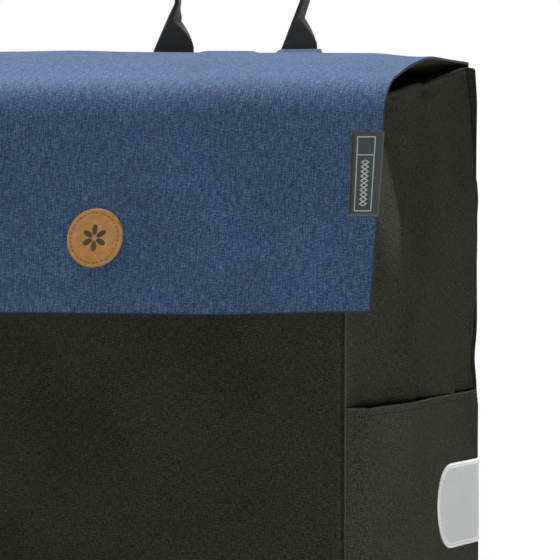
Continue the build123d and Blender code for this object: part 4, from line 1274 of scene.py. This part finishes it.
def dress_frame():
    dress(metal("satin_aluminium", (0.62, 0.63, 0.65, 1), (900, 900, 12)), *both("outer_tube"), "handle_bow")
    dress(moulded("powder_coat", (0.03, 0.03, 0.032, 1), 900.0, 0.04 * MM, 0.4, 0.55, 0.2),
          "support_frame", "shelf_rods", "cross_brace")
    dress(metal("zinc_steel", (0.56, 0.56, 0.57, 1), (300, 300, 300), 0.28, 0.46),
          "axle", "axle_washers", "axle_clips", "bearing_inner_rings", "frame_bolts", "frame_nuts",
          "clamp_bolts", "clamp_nuts", "clamp_washers", "lever_pins", *both("bearing_outer_rings"))
    dress(moulded("black_moulding", (0.028, 0.028, 0.03, 1)), "top_bridge", "glide_plugs", "axle_sleeves",
          "hub_spacers", *both("axle_bracket", "hub_cap"))
    dress(moulded("lever_moulding", (0.05, 0.05, 0.053, 1), 2200.0, 0.02 * MM, 0.3, 0.45),
          *both("clamp_lever"))
    dress(moulded("rim_moulding", (0.3, 0.31, 0.32, 1), 1400.0, 0.04 * MM, 0.38, 0.55, 0.25), *both("rim"))
    dress(moulded("tyre_rubber", (0.022, 0.022, 0.022, 1), 700.0, 0.12 * MM, 0.75, 0.92, 0.35), *both("tyre"))
    dress(moulded("soft_rubber", (0.026, 0.026, 0.027, 1), 1200.0, 0.06 * MM, 0.68, 0.85, 0.3),
          "handle_grip", *both("foot_pad"))
    dress(moulded("base_board", (0.05, 0.05, 0.05, 1), 500.0, 0.05 * MM, 0.5, 0.65), "base_board")


# Stage, light and camera

def make_stage():
    look = Finish("floor", Roughness=0.8)
    shade = look.noise(look.place(), 3.0, 3.0)
    look.colour(look.ramp(shade, (0.3, (0.55, 0.55, 0.545, 1)), (0.7, (0.57, 0.57, 0.565, 1))))
    distance = look.node("VectorMath", "Value", {0: look.place()}, operation="LENGTH")
    white = look.node("Emission", 0, {"Color": WHITE, "Strength": 1.0})
    fade = look.remap(distance, *FLOOR_FADE) * look.direct_rays()
    look.show_mix("Material Output", fade, look.shader, white)
    rim = FLOOR_RADIUS * circle(full_turn(96))
    mesh = bpy.data.meshes.new("floor")
    mesh.from_pydata([(x, y, 0.0) for x, y in rim.tolist()], [], [range(len(rim))])
    mesh.materials.append(look.material)
    add_object("floor", mesh)


def make_world():
    world = bpy.data.worlds.new("studio")
    bpy.context.scene.world = world
    world.use_nodes = True
    look = Nodes(world.node_tree)
    sky = look.tree.nodes["Background"]
    look.put(sky.inputs["Color"], (0.97, 0.985, 1.0, 1))
    look.put(sky.inputs["Strength"], AMBIENT)
    white = look.node("Background", 0, {"Color": WHITE})
    look.show_mix("World Output", look.direct_rays(), sky, white)


def aim(holder, direction):
    """Turns a lamp or the camera towards a direction."""
    holder.rotation_mode = "QUATERNION"
    holder.rotation_quaternion = direction.to_track_quat("-Z", "Y")


def add_lamp(name, place, target, size, power):
    lamp = bpy.data.lights.new(name, "AREA")
    lamp.shape = "RECTANGLE"
    lamp.size, lamp.size_y = size
    lamp.energy = power
    holder = add_object(name, lamp)
    holder.location = place
    holder.visible_camera = False
    aim(holder, Vector(target) - Vector(place))


def make_camera():
    camera = bpy.data.cameras.new("camera")
    camera.lens = CAMERA_LENS
    camera.sensor_width = 36.0
    holder = add_object("camera", camera)
    holder.location = (CAMERA_DISTANCE * math.sin(CAMERA_AZIMUTH),
                       FRONT_Y - CAMERA_DISTANCE * math.cos(CAMERA_AZIMUTH), CAMERA_Z)
    heading = CAMERA_YAW - CAMERA_AZIMUTH
    level = math.cos(CAMERA_PITCH)
    aim(holder, Vector((math.sin(heading) * level, math.cos(heading) * level, -math.sin(CAMERA_PITCH))))
    bpy.context.scene.camera = holder


def flap_inside(x, z):
    """Place of the hanging front's inner face along the depth."""
    return hanging_face(x, z) + FLAP_CLOTH / math.cos(math.atan(LEAN_TAN))


def main():
    bpy.context.scene.view_settings.view_transform = "Standard"
    make_camera()
    make_world()
    make_stage()
    for lamp in LAMPS:
        add_lamp(*lamp)
    make_front()
    make_back()
    make_base()
    for side, name in ((-1, "left"), (1, "right")):
        make_side(side, name)
        make_pocket(side, name)
        make_patch(side, name)
    make_flap()
    make_badge()
    make_label()
    make_pads("loop_pads", "closure_loop_pads", "chassis", front_face, -1)
    make_pads("hook_pads", "closure_hook_pads", "flap_front", flap_inside, 1)
    make_strap()
    make_frame_loops()
    dress_frame()


main()
